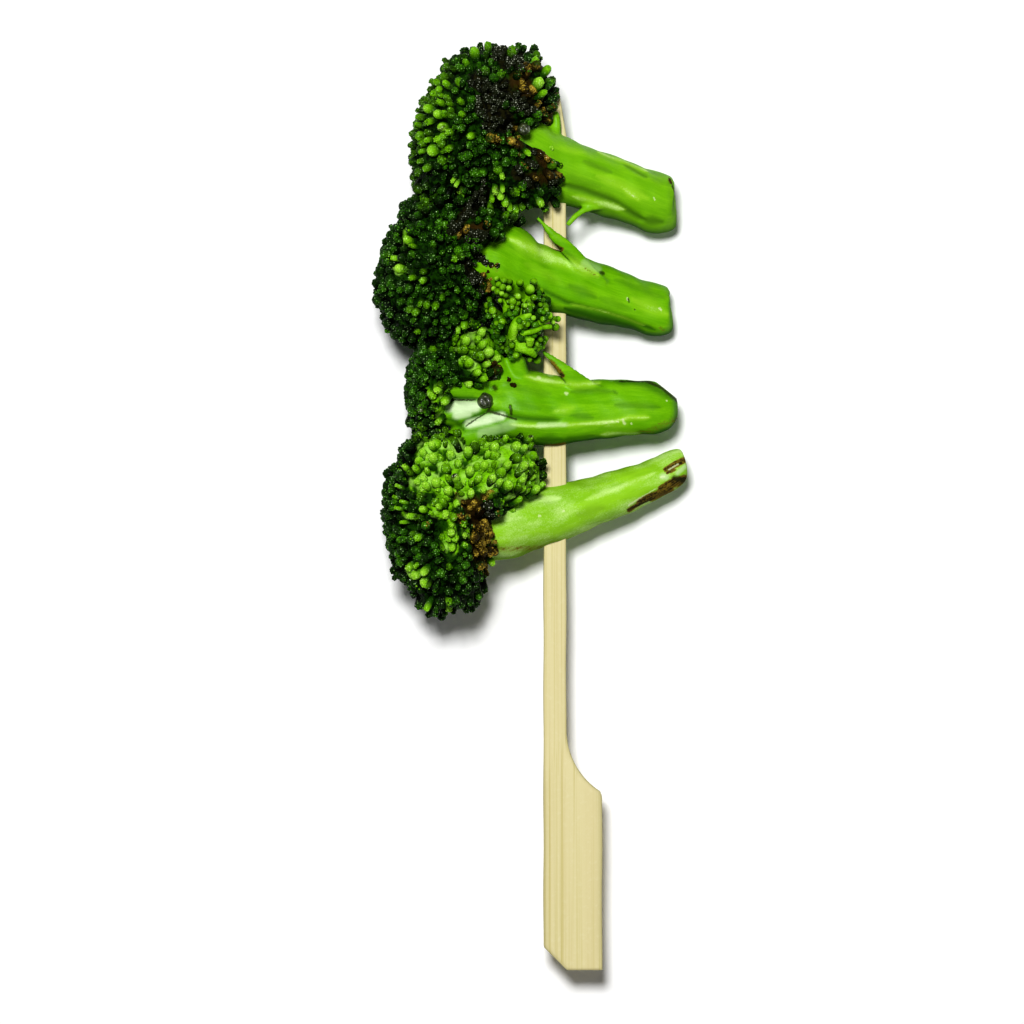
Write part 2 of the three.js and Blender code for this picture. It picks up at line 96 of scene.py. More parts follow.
# A stem is rows of x, y, z and radius from the cut end to the crown. A shoot is a thin leaf stalk in the same
# form, and flat is its thickness as a share of its width. A head has an outline as seen from above.
FLORETS = (
    {
        "name": "1",
        "stem": (
            (24.1, 153.7, 4.9, 3.4), (22.9, 153.6, 5, 5.3), (16, 155.8, 6.8, 5.8), (9, 158.1, 8.9, 6),
            (0, 161, 11.1, 6.5), (-6, 164.2, 13, 6.8), (-11, 167.2, 14.5, 6.6),
        ),
        "ridge": 0.05,
        "shoots": (
            {
                "flat": 0.8,
                "rows": (
                    (14, 153.8, 10.4, 1.3), (9, 153.4, 11.4, 1), (6.2, 152.4, 12.4, 0.75),
                    (4.4, 151.3, 12.9, 0.65), (3.2, 150.1, 13.2, 0.62), (2.5, 149.2, 13.3, 0.55),
                ),
            },
        ),
        "branches": (((-4, 164.6, 14, 2), (-0.4, 166.8, 13.7, 1.3), (0.2, 169, 13.5, 1.1), (0, 172, 13.3, 0.8)),),
        "heads": (
            {
                "centre": (-14.2, 169.6, 15.2),
                "outline": (
                    (-2.2, 169.2), (0.2, 171.2), (1.2, 176), (0.4, 181), (-2.2, 184.6), (-7.6, 186.6),
                    (-13, 186.6), (-18, 185.4), (-22.6, 182.4), (-26.6, 176.4), (-29, 171), (-29.7, 165.4),
                    (-29.6, 158.4), (-28.4, 154.4), (-23, 152.8), (-15, 151.6), (-8, 149.6), (-3.4, 149.8),
                    (0.6, 152.2), (2.3, 156.4), (2, 160.8), (-2.6, 163.8), (-6.6, 166.4),
                ),
                "up": 15.4, "down": 17.2, "clusters": 108, "lobes": 13,
            },
        ),
    },
    {
        "name": "2",
        "stem": (
            (23.4, 131.7, 3.8, 2.8), (22.4, 131.6, 3.9, 4.4), (16, 133.3, 5.6, 5), (9, 135.2, 7.8, 5.6),
            (0, 137.8, 10, 6.2), (-6, 139.6, 11.8, 6.1), (-11, 142.4, 13.4, 6.8), (-15, 144, 14.4, 6.4),
        ),
        "ridge": 0.08,
        "shoots": (
            {
                "flat": 0.45,
                "rows": (
                    (10, 137.4, 12.2, 1), (6, 140.9, 13.6, 1.5), (3, 144, 15, 1.55), (1, 145.9, 15.6, 1.3),
                    (-0.8, 147.6, 16, 0.95), (-2.2, 149.2, 16.1, 0.65), (-3.6, 150.6, 16, 0.42),
                ),
            },
        ),
        "branches": (),
        "heads": (
            {
                "centre": (-22, 140.2, 15.2),
                "outline": (
                    (-11.6, 147.4), (-7.2, 148.6), (-5.4, 151.6), (-8.6, 154.8), (-15, 156), (-22, 156.4),
                    (-28, 155.8), (-32.2, 152.4), (-34.6, 147.4), (-36.4, 141.4), (-36.8, 135),
                    (-35.2, 129.4), (-31.8, 125), (-27, 123.8), (-21, 124.8), (-14.6, 128.6), (-12, 134.2),
                    (-12, 139.4), (-13.6, 142), (-14.8, 144.6),
                ),
                "up": 15.2, "down": 17.4, "clusters": 104, "lobes": 13,
            },
        ),
    },
    {
        "name": "3",
        "stem": (
            (24.5, 112.5, 7.4, 1.8), (23.3, 112.5, 7.6, 3.7), (20.6, 112.5, 8.1, 4.9),
            (16, 112.5, 8.8, 5.4), (8, 112.1, 9.8, 5.8), (0, 111.8, 10.9, 6.7), (-7, 112.8, 12, 7.1),
            (-11, 113.4, 12.8, 6.4), (-15, 113.6, 13.4, 3.8),
        ),
        "ridge": 0.06,
        "slant": {"at": (22.2, 116.4), "facing": (0.62, 0.78)},
        "shoots": (
            {
                "flat": 0.4,
                "rows": (
                    (12, 115, 12.6, 1), (8, 116.2, 13.6, 1.5), (4.4, 118, 15, 1.8), (2, 120, 15.8, 1.5),
                    (-0.6, 122.4, 16.3, 0.85), (-2.6, 123.9, 16.5, 0.45),
                ),
            },
        ),
        "branches": (
            ((-8, 115, 14, 4.2), (-15, 112.6, 15, 3.1), (-21, 111.4, 15.4, 2.5), (-25, 113, 15, 2)),
            ((-8, 112, 13.4, 4.2), (-14, 108.6, 14.6, 3), (-19, 106.4, 14.4, 2.6), (-23, 105, 12, 2)),
            ((-8, 115, 13, 4), (-11.6, 119.4, 15, 3), (-13.6, 124, 16.6, 2.4)),
            ((-6, 116, 13, 3), (-7.4, 120.4, 15.2, 2), (-8, 126, 17, 1.8)),
        ),
        "heads": (
            {
                "centre": (-22.6, 119.4, 13.4),
                "outline": (
                    (-8.2, 122), (-7.4, 125.4), (-9, 129.4), (-13, 131.4), (-18.6, 130.6), (-24, 128),
                    (-28.6, 124.6), (-30.2, 119.6), (-30.5, 114.4), (-30, 110), (-28.6, 106.2),
                    (-25, 106.2), (-22.2, 108.6), (-21.8, 112.4), (-20.2, 115), (-16.6, 116.4),
                    (-12, 117.2), (-8.6, 118.2),
                ),
                "up": 12.6, "down": 13.2, "clusters": 72, "lobes": 9,
            },
            {
                "centre": (-7.2, 129.8, 18),
                "outline": (
                    (-13.6, 125), (-15.8, 131), (-13.2, 136.8), (-9.2, 139.4), (-4.6, 138.8), (-1, 135),
                    (1.4, 130.4), (-0.8, 126.4), (-3, 122), (-6, 121.2), (-10, 122),
                ),
                "up": 6.8, "down": 6.6, "clusters": 38, "lobes": 5, "fork": (-9.4, 123.6, 16.6),
            },
        ),
    },
    {
        "name": "4",
        "stem": (
            (26, 101.4, 6.7, 2.8), (25.1, 101.2, 6.85, 3.3), (21.4, 99, 7.3, 3.8),
            (15, 96.3, 8.3, 4.3), (8, 93.9, 9.4, 4.8), (0, 91.4, 10.6, 5.6), (-6, 90, 11.8, 6.3),
            (-11, 88.9, 13, 6.8), (-15, 88.4, 14, 6.2),
        ),
        "ridge": 0.05,
        "shoots": (),
        "branches": (),
        "heads": (
            {
                "centre": (-20.6, 90.6, 15.6),
                "outline": (
                    (-11.2, 90), (-8, 92.2), (-5.4, 94.6), (-1.8, 96.8), (-1.2, 100.2), (-0.9, 103.6),
                    (-2.4, 107), (-5.6, 108.8), (-11, 108.4), (-16.2, 108), (-21, 110), (-26, 109.4),
                    (-30.6, 106.6), (-33.6, 102.6), (-35.2, 97.4), (-35.2, 91), (-34.4, 85), (-33, 79.2),
                    (-29.2, 75.2), (-26.4, 70.2), (-21, 69.8), (-16.6, 70.4), (-14.2, 74.4), (-13.6, 78),
                    (-11.4, 82.4), (-11, 86),
                ),
                "up": 15.6, "down": 17.8, "clusters": 118, "lobes": 14,
            },
        ),
    },
)

# Marks on the heads as seen from above, each a soft capsule: x, y of its two ends, its radius and its strength.
CHARRED = (
    (-10.8, 183.8, -9.8, 181.4, 2.1, 1.0), (-7.4, 183.2, -6.4, 181.6, 1.6, 1.0),
    (-15.6, 177.8, -13.2, 175.6, 2.2, 1.0), (-10.6, 177, -10.2, 174.4, 1.7, 1.0),
    (-14.2, 172.4, -10.4, 170.6, 2.6, 1.0), (-7.6, 174, -4.8, 172, 1.9, 1.0), (-13, 168.6, -10, 168.4, 1.8, 1.0),
    (-5, 165.6, -4, 163.2, 1.0, 1.0), (-8, 159.2, -5, 157.2, 1.3, 1.0), (-1, 157, 0.6, 157.4, 0.9, 1.0),
    (-3.6, 160.6, -2.8, 160, 0.9, 0.8), (-14, 155.4, -17, 152.2, 1.8, 1.0), (-17, 152.2, -20.4, 148, 1.5, 1.0),
    (-17, 147.2, -13.6, 147, 1.1, 1.0), (-15.4, 143.2, -13.4, 141.6, 1.3, 1.0),
    (-11.2, 140.9, -10.8, 140.8, 0.6, 1.0), (-17.6, 141, -15.4, 138, 1.6, 0.9),
    (-14.8, 136.4, -14.6, 135.2, 0.8, 0.8), (-8, 121, -8.6, 118.8, 0.8, 1.0), (-10.6, 119.4, -9.4, 118.8, 0.6, 1.0),
    (-13, 91.4, -12, 90.4, 1.2, 1.0), (-14.6, 92.8, -13.4, 93.4, 0.7, 0.8),
)
BROWNED = (
    (-7.6, 177.6, -4.6, 175.6, 1.9, 1.0), (-5.4, 180.4, -3, 180.6, 1.0, 0.9), (-8.8, 168.4, -7.6, 167, 1.2, 1.0),
    (-12.2, 165.6, -11.4, 165.4, 0.9, 0.9), (-8, 165.2, -7, 164.6, 0.9, 1.0), (-3.4, 164.2, -1.8, 161.6, 1.7, 1.0),
    (-6, 161.4, -5.2, 160.6, 0.9, 0.8), (-4.4, 158.2, 1.2, 158.8, 1.3, 1.0), (-2.2, 173.4, -0.6, 171.8, 1.4, 0.8),
    (-19, 147.4, -14, 148.6, 1.2, 1.0), (-13.8, 139.6, -11.4, 141, 0.8, 1.0),
    (-14.4, 138.6, -12.4, 136.6, 1.5, 1.0), (-13.4, 121.6, -11.4, 121.2, 1.2, 0.9), (-8, 122, -8.8, 118, 0.9, 0.9),
    (-14, 95, -13, 95.2, 0.9, 1.0), (-16.2, 93, -13, 87, 2.2, 1.0), (-15.4, 86, -13.4, 83, 1.9, 1.0),
    (-19.6, 94.8, -18, 93.4, 1.2, 0.8), (-19.4, 90.8, -18.6, 90.4, 0.9, 1.0), (-12.2, 84.6, -12, 83, 0.9, 0.8),
    (-11.4, 91.4, -11.2, 89.8, 0.8, 0.9), (-15.4, 83.4, -13.2, 80, 1.5, 0.8), (-25.4, 89.4, -25.2, 89.2, 0.5, 1.0),
    (-8.3, 117.4, -7.5, 117, 0.6, 1.0),
)
FRESH = (
    (-26, 178, -27.6, 163, 3.0, 0.55), (-22.6, 181, -22.4, 163, 2.8, 0.50), (-18.6, 182.6, -10, 185.6, 1.8, 0.35),
    (-18.6, 174, -18.4, 167, 1.6, 0.25), (-12.6, 180.2, -8.4, 179, 0.9, 0.4), (-8.4, 178.6, -8, 176, 0.8, 0.4),
    (-3.6, 182.6, -0.4, 179, 1.8, 0.6), (-1.8, 176, -2, 174, 1.0, 0.6), (-0.6, 164.6, 0.4, 161, 1.2, 0.75),
    (-5.6, 163.4, -5.2, 162.6, 0.7, 0.8), (-12, 158.6, -8, 155.6, 2.0, 0.55), (-11.6, 153, -7, 152.4, 1.9, 0.6),
    (-3.6, 153.6, -2.2, 152.6, 1.0, 0.75), (-28.6, 158.4, -25.8, 153.8, 1.8, 0.5),
    (-29.8, 147.6, -29.6, 144, 1.0, 0.8), (-32.6, 142.6, -31, 139.4, 1.3, 0.85),
    (-28.8, 138.4, -26, 138.4, 1.3, 0.6), (-28.6, 131.4, -24, 132.6, 1.5, 0.5), (-28, 127.6, -26.6, 128, 1.1, 0.6),
    (-21.6, 142.6, -19, 141.8, 1.4, 0.5), (-18, 127.4, -14.6, 127.6, 2.2, 0.9),
    (-19, 124.6, -15.6, 124.6, 2.0, 0.8), (-13.4, 124.6, -12, 122.6, 2.4, 1.0), (-18, 121.6, -15, 119.4, 1.9, 1.0),
    (-14.2, 118.6, -13.8, 118, 0.9, 1.0), (-17.4, 117.4, -16.6, 117.2, 0.9, 0.9),
    (-24.6, 116.6, -20.4, 109.6, 2.2, 1.0), (-23.6, 110.6, -22, 107.6, 1.4, 0.8),
    (-27.6, 108, -26.6, 106, 1.4, 0.6), (-24.6, 103.4, -5.6, 103.6, 4.4, 1.0), (-26.6, 97.6, -13.6, 98, 3.6, 1.0),
    (-23.6, 92.6, -18.6, 96, 2.8, 1.0), (-21.6, 90.6, -20.6, 84.6, 2.2, 0.95), (-18, 88.6, -17.4, 86, 1.2, 0.8),
    (-10, 98.6, -4, 98, 3.0, 1.0), (-9.4, 94.6, -7.6, 92.6, 1.8, 0.95), (-28.8, 101.4, -26.6, 100.6, 1.4, 0.7),
    (-30.6, 100.8, -29.6, 100.8, 1.0, 0.8), (-30, 91.4, -27.6, 90, 1.1, 0.8), (-28.4, 86.8, -27, 86.4, 1.1, 0.7),
    (-28.6, 80, -26.6, 77.8, 2.0, 1.0), (-21.4, 73, -21.2, 71.8, 0.8, 0.9), (-25.8, 72.8, -25.6, 72.2, 0.9, 0.7),
    (-12.6, 81.6, -12, 80.8, 1.1, 1.0), (-12.8, 85.6, -12.4, 85.4, 0.9, 0.8), (-21.4, 80.6, -20.6, 81.4, 0.8, 0.5),
)

# Knobs that stand out, by floret: x, y, radius, freshness, and how far each leans out from the stem.
BRIGHT_KNOBS = {
    "1": (
        (-24.4, 175.4, 0.97, 0.82, 1.5), (-23.2, 173.4, 0.78, 0.7, 1.2), (-25.8, 172.3, 1.15, 0.82, 0.6),
        (-23.8, 171, 1.1, 0.78, 0.6), (-23, 168.3, 1.15, 0.78, 0.5), (-23.8, 165.8, 0.87, 0.74, 0.9),
        (-25, 163.4, 1.43, 0.78, 0.4), (-27.4, 170.6, 0.87, 0.7, 0.6), (-19, 173.4, 0.78, 0.66, 0.4),
        (-18.8, 170.8, 0.83, 0.57, 0.4), (-21.5, 167.2, 0.87, 0.66, 0.6), (-17.2, 166.4, 0.92, 0.7, 0.8),
        (-22, 177.2, 0.83, 0.61, 0.9), (-24.3, 178.2, 0.83, 0.7, 0.8), (-16.3, 184, 1.2, 0.78, 0.8),
        (-18, 181.6, 0.87, 0.61, 0.8), (-13.5, 185.2, 0.9, 0.75, 0.8), (-8.5, 184.2, 1.2, 0.6, 0.8),
        (-3, 177.8, 1.3, 1, 0.9), (-1.4, 180.4, 1, 0.85, 0.6), (-2.2, 175.4, 0.8, 0.8, 0.4),
        (-12, 155.4, 0.8, 1, 0.3), (-10.9, 154.2, 0.95, 1, 0.3), (-10, 153, 0.9, 1, 0.3),
        (-9.1, 152.1, 0.75, 0.95, 0.3), (-12.6, 153.9, 0.65, 0.9, 0.3), (-10.5, 155.7, 0.6, 0.9, 0.3),
        (-20.4, 157.7, 0.5, 0.95, 0.3), (-19.8, 156.8, 0.6, 1, 0.3), (-19.1, 155.8, 0.6, 1, 0.3),
        (-18.5, 154.8, 0.5, 0.95, 0.3), (-7.6, 149.9, 1.15, 1, 0.5), (-8.9, 149, 0.6, 0.9, 0.3),
        (-2.8, 153, 0.9, 0.9, 0.4), (-10.6, 158.2, 0.65, 0.95, 0.2), (-12.8, 150.2, 0.8, 0.9, 0.3),
        (-13.6, 148.3, 0.65, 0.9, 0.3), (-27, 154.2, 0.92, 0.7, 0.5), (-26, 160, 0.92, 0.49, 0.5),
        (-21.6, 163.8, 0.83, 0.49, 0.5), (-19.4, 177.6, 1, 0.5, 0.8), (-7, 159.4, 0.8, 0.2, 0.3),
        (-5.4, 163, 0.75, 0.85, 0.3), (-0.4, 164.2, 0.85, 0.85, 0.4),
    ),
    "2": (
        (-29.7, 146, 0.99, 0.66, 0.5), (-31.6, 140.2, 1.17, 0.66, 0.4), (-32.4, 142.3, 0.85, 0.58, 0.4),
        (-26.6, 137.6, 0.85, 0.55, 0.4), (-28.7, 138.2, 0.77, 0.55, 0.4), (-26.4, 139.4, 0.72, 0.47, 0.4),
        (-28, 131.2, 0.85, 0.43, 0.5), (-24, 132.4, 0.9, 0.39, 0.5), (-22.6, 134.2, 0.81, 0.31, 0.5),
        (-20, 142, 0.9, 0.39, 0.3), (-22, 149, 0.9, 0.27, 0.3), (-24.4, 145, 0.81, 0.23, 0.3),
        (-27.6, 127.8, 0.85, 0.47, 0.6), (-31, 133.4, 0.85, 0.23, 0.5), (-19.6, 135.6, 0.81, 0.27, 0.4),
        (-15.4, 143.4, 0.9, 0.01, 0.3), (-14.2, 142.6, 0.95, 0.01, 0.3), (-13.4, 141.6, 0.9, 0.01, 0.3),
        (-12.4, 141, 0.65, 0.01, 0.3), (-11.2, 140.9, 0.6, 0.01, 0.5), (-13.2, 139.8, 0.8, 0.01, 0.3),
        (-12.6, 138.4, 0.8, 0.01, 0.3), (-14.4, 140.2, 0.9, 0.01, 0.3), (-16.6, 147.2, 0.9, 0.01, 0.3),
        (-15.2, 147.4, 0.9, 0.01, 0.3), (-14, 147, 0.85, 0.01, 0.3), (-17.6, 148.4, 0.9, 0.01, 0.3),
        (-15.8, 146, 0.8, 0.01, 0.3), (-17.4, 146.2, 0.9, 0.01, 0.3),
    ),
    "3": (
        (-7.9, 117.1, 0.55, 0.01, 0.2), (-9, 118.2, 0.6, 0.01, 0.2), (-9.6, 119.4, 0.6, 0.01, 0.2),
        (-14.4, 125.4, 0.9, 1, 0.3), (-11.4, 122.6, 0.9, 1, 0.3), (-13.4, 121.4, 0.8, 0.95, 0.3),
        (-12.8, 124, 1.29, 1, 0.2), (-17, 121.7, 1.11, 1, 0.3), (-15.3, 119.7, 0.94, 1, 0.3),
        (-14, 118.4, 0.8, 1, 0.3), (-17, 117.3, 1, 0.9, 0.2), (-17.6, 126.4, 1.07, 0.9, 0.4),
        (-14.5, 128, 1.03, 0.95, 0.4), (-22.4, 113.6, 1.07, 1, 0.9), (-21, 111, 1.03, 1, 0.9),
        (-23.8, 116, 0.94, 0.95, 0.8), (-22.6, 108.2, 0.94, 0.8, 0.6), (-27.4, 106.8, 1, 0.6, 0.6),
        (-18.6, 108.4, 0.94, 0.3, 0.3), (-17, 106.6, 0.9, 0.3, 0.2), (-24.6, 124.4, 1, 0.5, 0.5),
    ),
    "4": (
        (-7.6, 105.4, 1.26, 1, 0.9), (-14, 101.6, 1.09, 1, 0.5), (-17, 100.4, 1.09, 1, 0.6),
        (-20, 99, 1.09, 1, 0.6), (-16.8, 95.8, 1.09, 1, 0.4), (-24, 98, 1.26, 1, 0.7), (-21.5, 96.4, 1.18, 1, 0.5),
        (-22, 91.4, 1.18, 1, 0.5), (-12, 105.2, 1.18, 1, 0.6), (-9.4, 101.6, 1.01, 1, 0.5),
        (-6, 101.4, 1.01, 0.95, 0.5), (-12.4, 98.8, 1.01, 0.95, 0.4), (-3.6, 96.8, 1.01, 0.7, 0.9),
        (-7, 94.6, 0.84, 0.95, 0.6), (-6.4, 98.4, 0.76, 1, 0.3), (-4.3, 99, 0.67, 0.9, 0.3),
        (-8, 92.4, 0.76, 0.6, 0.4), (-4, 107.8, 0.84, 0.6, 0.4), (-9.8, 106.7, 0.76, 0.3, 0.3),
        (-28.2, 78.9, 1.26, 1, 0.8), (-26.4, 79.6, 1.01, 1, 0.8), (-29.4, 80.6, 0.84, 0.8, 0.8),
        (-21.3, 72.3, 0.76, 0.9, 0.7), (-25.7, 72.5, 0.8, 0.75, 0.7), (-12.3, 81.2, 0.84, 1, 0.3),
        (-13.7, 79.3, 0.67, 0.9, 0.3), (-28, 100.7, 0.8, 0.7, 0.5), (-30, 100.8, 0.67, 0.8, 0.4),
        (-27.6, 86.6, 0.88, 0.7, 0.5), (-29.2, 91, 0.84, 0.8, 1.4), (-20.6, 84.4, 0.92, 0.95, 0.4),
        (-20.8, 87.6, 1.01, 1, 0.4), (-18, 87, 0.76, 0.8, 0.3), (-26.6, 92.4, 0.92, 0.85, 0.5),
        (-15.3, 74.6, 0.84, 0.3, 0.6), (-26.6, 104, 0.92, 0.8, 0.6), (-31.6, 92.6, 0.5, 0.8, 1.6),
        (-30.6, 93.9, 0.5, 0.75, 1.6), (-32, 94.8, 0.5, 0.7, 1.6), (-30.6, 89.8, 0.5, 0.7, 1.6),
        (-31.4, 97, 0.5, 0.65, 1.4), (-21, 103.6, 1.09, 0.95, 0.6), (-17.4, 104.4, 1.09, 0.95, 0.6),
    ),
}

# What every colour setting shares.
COLOUR = {"subtype": "COLOR", "size": 3, "min": 0, "max": 1}


class BunchSkewerSettings(bpy.types.PropertyGroup):
    wood: bpy.props.FloatVectorProperty(
        name="Bamboo", description="Pale colour of the bamboo", default=(0.66, 0.59, 0.31), **COLOUR,
    )
    fibre: bpy.props.FloatVectorProperty(
        name="Fibre", description="Colour of the darker fibres", default=(0.50, 0.43, 0.14), **COLOUR,
    )


class BunchStalkSettings(bpy.types.PropertyGroup):
    skin: bpy.props.FloatVectorProperty(
        name="Skin", description="Main green of the stems", default=(0.128, 0.39, 0.0008), **COLOUR,
    )
    light: bpy.props.FloatVectorProperty(
        name="Light", description="Pale streaks of the stems", default=(0.27, 0.62, 0.010), **COLOUR,
    )
    # Shade is also the colour of the painted shade on the stems' sides and in their grooves, and of their darker
    # blotches.
    shade: bpy.props.FloatVectorProperty(
        name="Shade", description="Dark green in the grooves of the stems", default=(0.026, 0.115, 0.0006), **COLOUR,
    )
    voxel: bpy.props.FloatProperty(
        name="Skin detail", description="Edge of the cells that join stem and branches, in millimetres",
        default=0.42, min=0.2, max=1,
    )


class BunchBudSettings(bpy.types.PropertyGroup):
    dark: bpy.props.FloatVectorProperty(
        name="Dark", description="Dark green of the closed buds", default=(0.010, 0.045, 0.0003), **COLOUR,
    )
    middle: bpy.props.FloatVectorProperty(
        name="Middle", description="Mid green of some closed buds", default=(0.046, 0.19, 0.001), **COLOUR,
    )
    light: bpy.props.FloatVectorProperty(
        name="Fresh", description="Light green of the fresh buds", default=(0.26, 0.63, 0.003), **COLOUR,
    )
    char: bpy.props.FloatVectorProperty(
        name="Char", description="Scorched black", default=(0.012, 0.016, 0.005), **COLOUR,
    )
    brown: bpy.props.FloatVectorProperty(
        name="Brown", description="Roasted brown", default=(0.13, 0.088, 0.005), **COLOUR,
    )
    bead: bpy.props.FloatProperty(
        name="Bead", description="Radius of a closed bud, in millimetres", default=0.28, min=0.2, max=1.2,
    )
    knobs: bpy.props.IntProperty(
        name="Knobs", description="Most bud knobs in one cluster", default=9, min=1, max=12,
    )
    beads: bpy.props.IntProperty(
        name="Beads", description="Closed buds on one knob", default=9, min=1, max=20,
    )


class BunchStageSettings(bpy.types.PropertyGroup):
    floor: bpy.props.FloatVectorProperty(
        name="Floor", description="Colour of the plain floor", default=(0.92, 0.92, 0.92), **COLOUR,
    )
    key: bpy.props.FloatProperty(
        name="Key light", description="Power of the key light", default=15.5, min=0, unit="POWER",
    )
    fill: bpy.props.FloatProperty(
        name="Fill light", description="Power of the fill light", default=1.5, min=0, unit="POWER",
    )
    distance: bpy.props.FloatProperty(
        name="Camera height", description="Height of the camera over the bunch", default=1.6, min=0.3, unit="LENGTH",
    )


# Vector helpers

def place(points):
    """Layout millimetres to metres in the frame."""
    return (np.asarray(points, float) + SHIFT) * MM


def unit(v):
    """Vectors scaled to length 1 along their last axis."""
    return v / np.maximum(np.linalg.norm(v, axis=-1, keepdims=True), 1e-12)


def draw(n):
    """A repeatable draw from 0 to 1 for each whole number: the fraction left of a large sine."""
    return np.modf(np.sin(np.asarray(n, float) * 12.9898 + 78.233) * 43758.5453)[0] % 1.0


def sideways(direction):
    """A unit vector square to each direction: level, or square to x where the direction is steep."""
    steep = np.abs(direction[..., 2:3]) >= 0.8
    away = np.where(steep, np.array([1.0, 0, 0]), np.array([0, 0, 1.0]))
    return unit(np.cross(direction, away))


def smooth_step(x, low, high):
    """0 below low, 1 above high, and a smooth cubic between."""
    t = np.clip((x - low) / (high - low), 0, 1)
    return t * t * (3 - 2 * t)


def smooth_line(points, per_span, closed=False):
    """A centripetal Catmull-Rom line: each span is a cubic whose end slopes come from the points on both sides,
    weighted by the square roots of the distances between them."""
    p = np.asarray(points, float)
    if closed:
        p = np.concatenate([p[-1:], p, p[:2]])
    else:
        p = np.concatenate([2 * p[:1] - p[1:2], p, 2 * p[-1:] - p[-2:-1]])
    p0, p1, p2, p3 = p[:-3], p[1:-2], p[2:-1], p[3:]
    place_only = slice(0, 3)
    d0, d1, d2 = (
        np.maximum(np.sqrt(np.linalg.norm((b - a)[:, place_only], axis=1)), 1e-4)[:, None]
        for a, b in ((p0, p1), (p1, p2), (p2, p3))
    )
    slope1 = ((p1 - p0) / d0 - (p2 - p0) / (d0 + d1) + (p2 - p1) / d1) * d1
    slope2 = ((p2 - p1) / d1 - (p3 - p1) / (d1 + d2) + (p3 - p2) / d2) * d1
    t = (np.arange(per_span) / per_span)[None, :, None]
    a, b, s1, s2 = p1[:, None], p2[:, None], slope1[:, None], slope2[:, None]
    cubic = a + s1 * t + (3 * (b - a) - 2 * s1 - s2) * t**2 + (2 * (a - b) + s1 + s2) * t**3
    line = cubic.reshape(-1, p.shape[1])
    return line if closed else np.concatenate([line, p[-2:-1]])


# Mesh helpers

def grid_faces(rows, columns):
    """Quads of a grid whose columns wrap round: face (i, j) joins rows i and i + 1 at columns j and j + 1."""
    i, j = np.meshgrid(np.arange(rows - 1), np.arange(columns), indexing="ij")
    k = (j + 1) % columns
    quads = [i * columns + j, i * columns + k, (i + 1) * columns + k, (i + 1) * columns + j]
    return np.stack(quads, -1).reshape(-1, 4)


def closed_tube_faces(rows, columns):
    """Faces of a wrapped grid whose two ends close on one more point each, the grid's last two vertices."""
    first, last = rows * columns, rows * columns + 1
    j = np.arange(columns)
    k = (j + 1) % columns
    top = (rows - 1) * columns
    start = np.stack([np.full(columns, first), k, j], 1)
    end = np.stack([np.full(columns, last), top + j, top + k], 1)
    return grid_faces(rows, columns), np.concatenate([start, end])


def copies(count, size, quads, triangles):
    """The faces of one small shape of the given vertex count, repeated for each copy."""
    step = (np.arange(count) * size)[:, None, None]
    return (quads[None] + step).reshape(-1, 4), (triangles[None] + step).reshape(-1, 3)


def new_mesh(name, vertices, quads, triangles):
    """A mesh from layout points and arrays of quads and triangles, smooth shaded."""
    mesh = bpy.data.meshes.new(name)
    corners = np.concatenate([quads.ravel(), triangles.ravel()]).astype(np.int32)
    totals = np.concatenate([np.full(len(quads), 4), np.full(len(triangles), 3)]).astype(np.int32)
    starts = np.concatenate([[0], np.cumsum(totals)[:-1]]).astype(np.int32)
    mesh.vertices.add(len(vertices))
    mesh.vertices.foreach_set("co", place(vertices).astype(np.float32).ravel())
    mesh.loops.add(len(corners))
    mesh.loops.foreach_set("vertex_index", corners)
    mesh.polygons.add(len(totals))
    mesh.polygons.foreach_set("loop_start", starts)
    mesh.polygons.foreach_set("loop_total", totals)
    mesh.update(calc_edges=True)
    mesh.validate()
    mesh.polygons.foreach_set("use_smooth", np.ones(len(mesh.polygons), bool))
    return mesh


def layout_points(mesh):
    """A mesh's vertices back in layout millimetres."""
    co = np.empty(len(mesh.vertices) * 3, np.float32)
    mesh.vertices.foreach_get("co", co)
    return co.reshape(-1, 3) / MM - SHIFT


def paint(mesh, **values):
    """Stores arrays as point attributes: one number or one vector for each vertex."""
    for name, value in values.items():
        kind, key = ("FLOAT_VECTOR", "vector") if np.ndim(value) == 2 else ("FLOAT", "value")
        layer = mesh.attributes.new(name, kind, "POINT")
        layer.data.foreach_set(key, np.asarray(value, np.float32).ravel())


def new_piece(name, mesh, material, node):
    """Puts a mesh into the scene as a piece that stands for a CAD node."""
    piece = bpy.data.objects.new(name, mesh)
    bpy.context.scene.collection.objects.link(piece)
    mesh.materials.append(material)
    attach(piece, "root")
    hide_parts(node)
    return piece


def patch(points, marks, solid=0.45, shown=None):
    """How strongly each point lies in the given soft capsules, as seen from above: 1 along a capsule's middle out
    to the solid share of its radius, fading to 0 a quarter beyond it. Where it isn't told how far each point
    shows from above, the marks fade out towards the underside."""
    total = np.zeros(len(points))
    for mark in marks:
        start, stop = np.array(mark[:2]), np.array(mark[2:4])
        radius, strength = mark[4:]
        line = stop - start
        offset = points[:, :2] - start
        share = np.clip(offset @ line / max(line @ line, 1e-9), 0, 1)
        away = np.linalg.norm(offset - share[:, None] * line, axis=1)
        total = np.maximum(total, strength * (1 - smooth_step(away / radius, solid, 1.25)))
    return total * (smooth_step(points[:, 2], UNDERSIDE_Z, UNDERSIDE_Z + 4) if shown is None else shown)


# Shader helpers

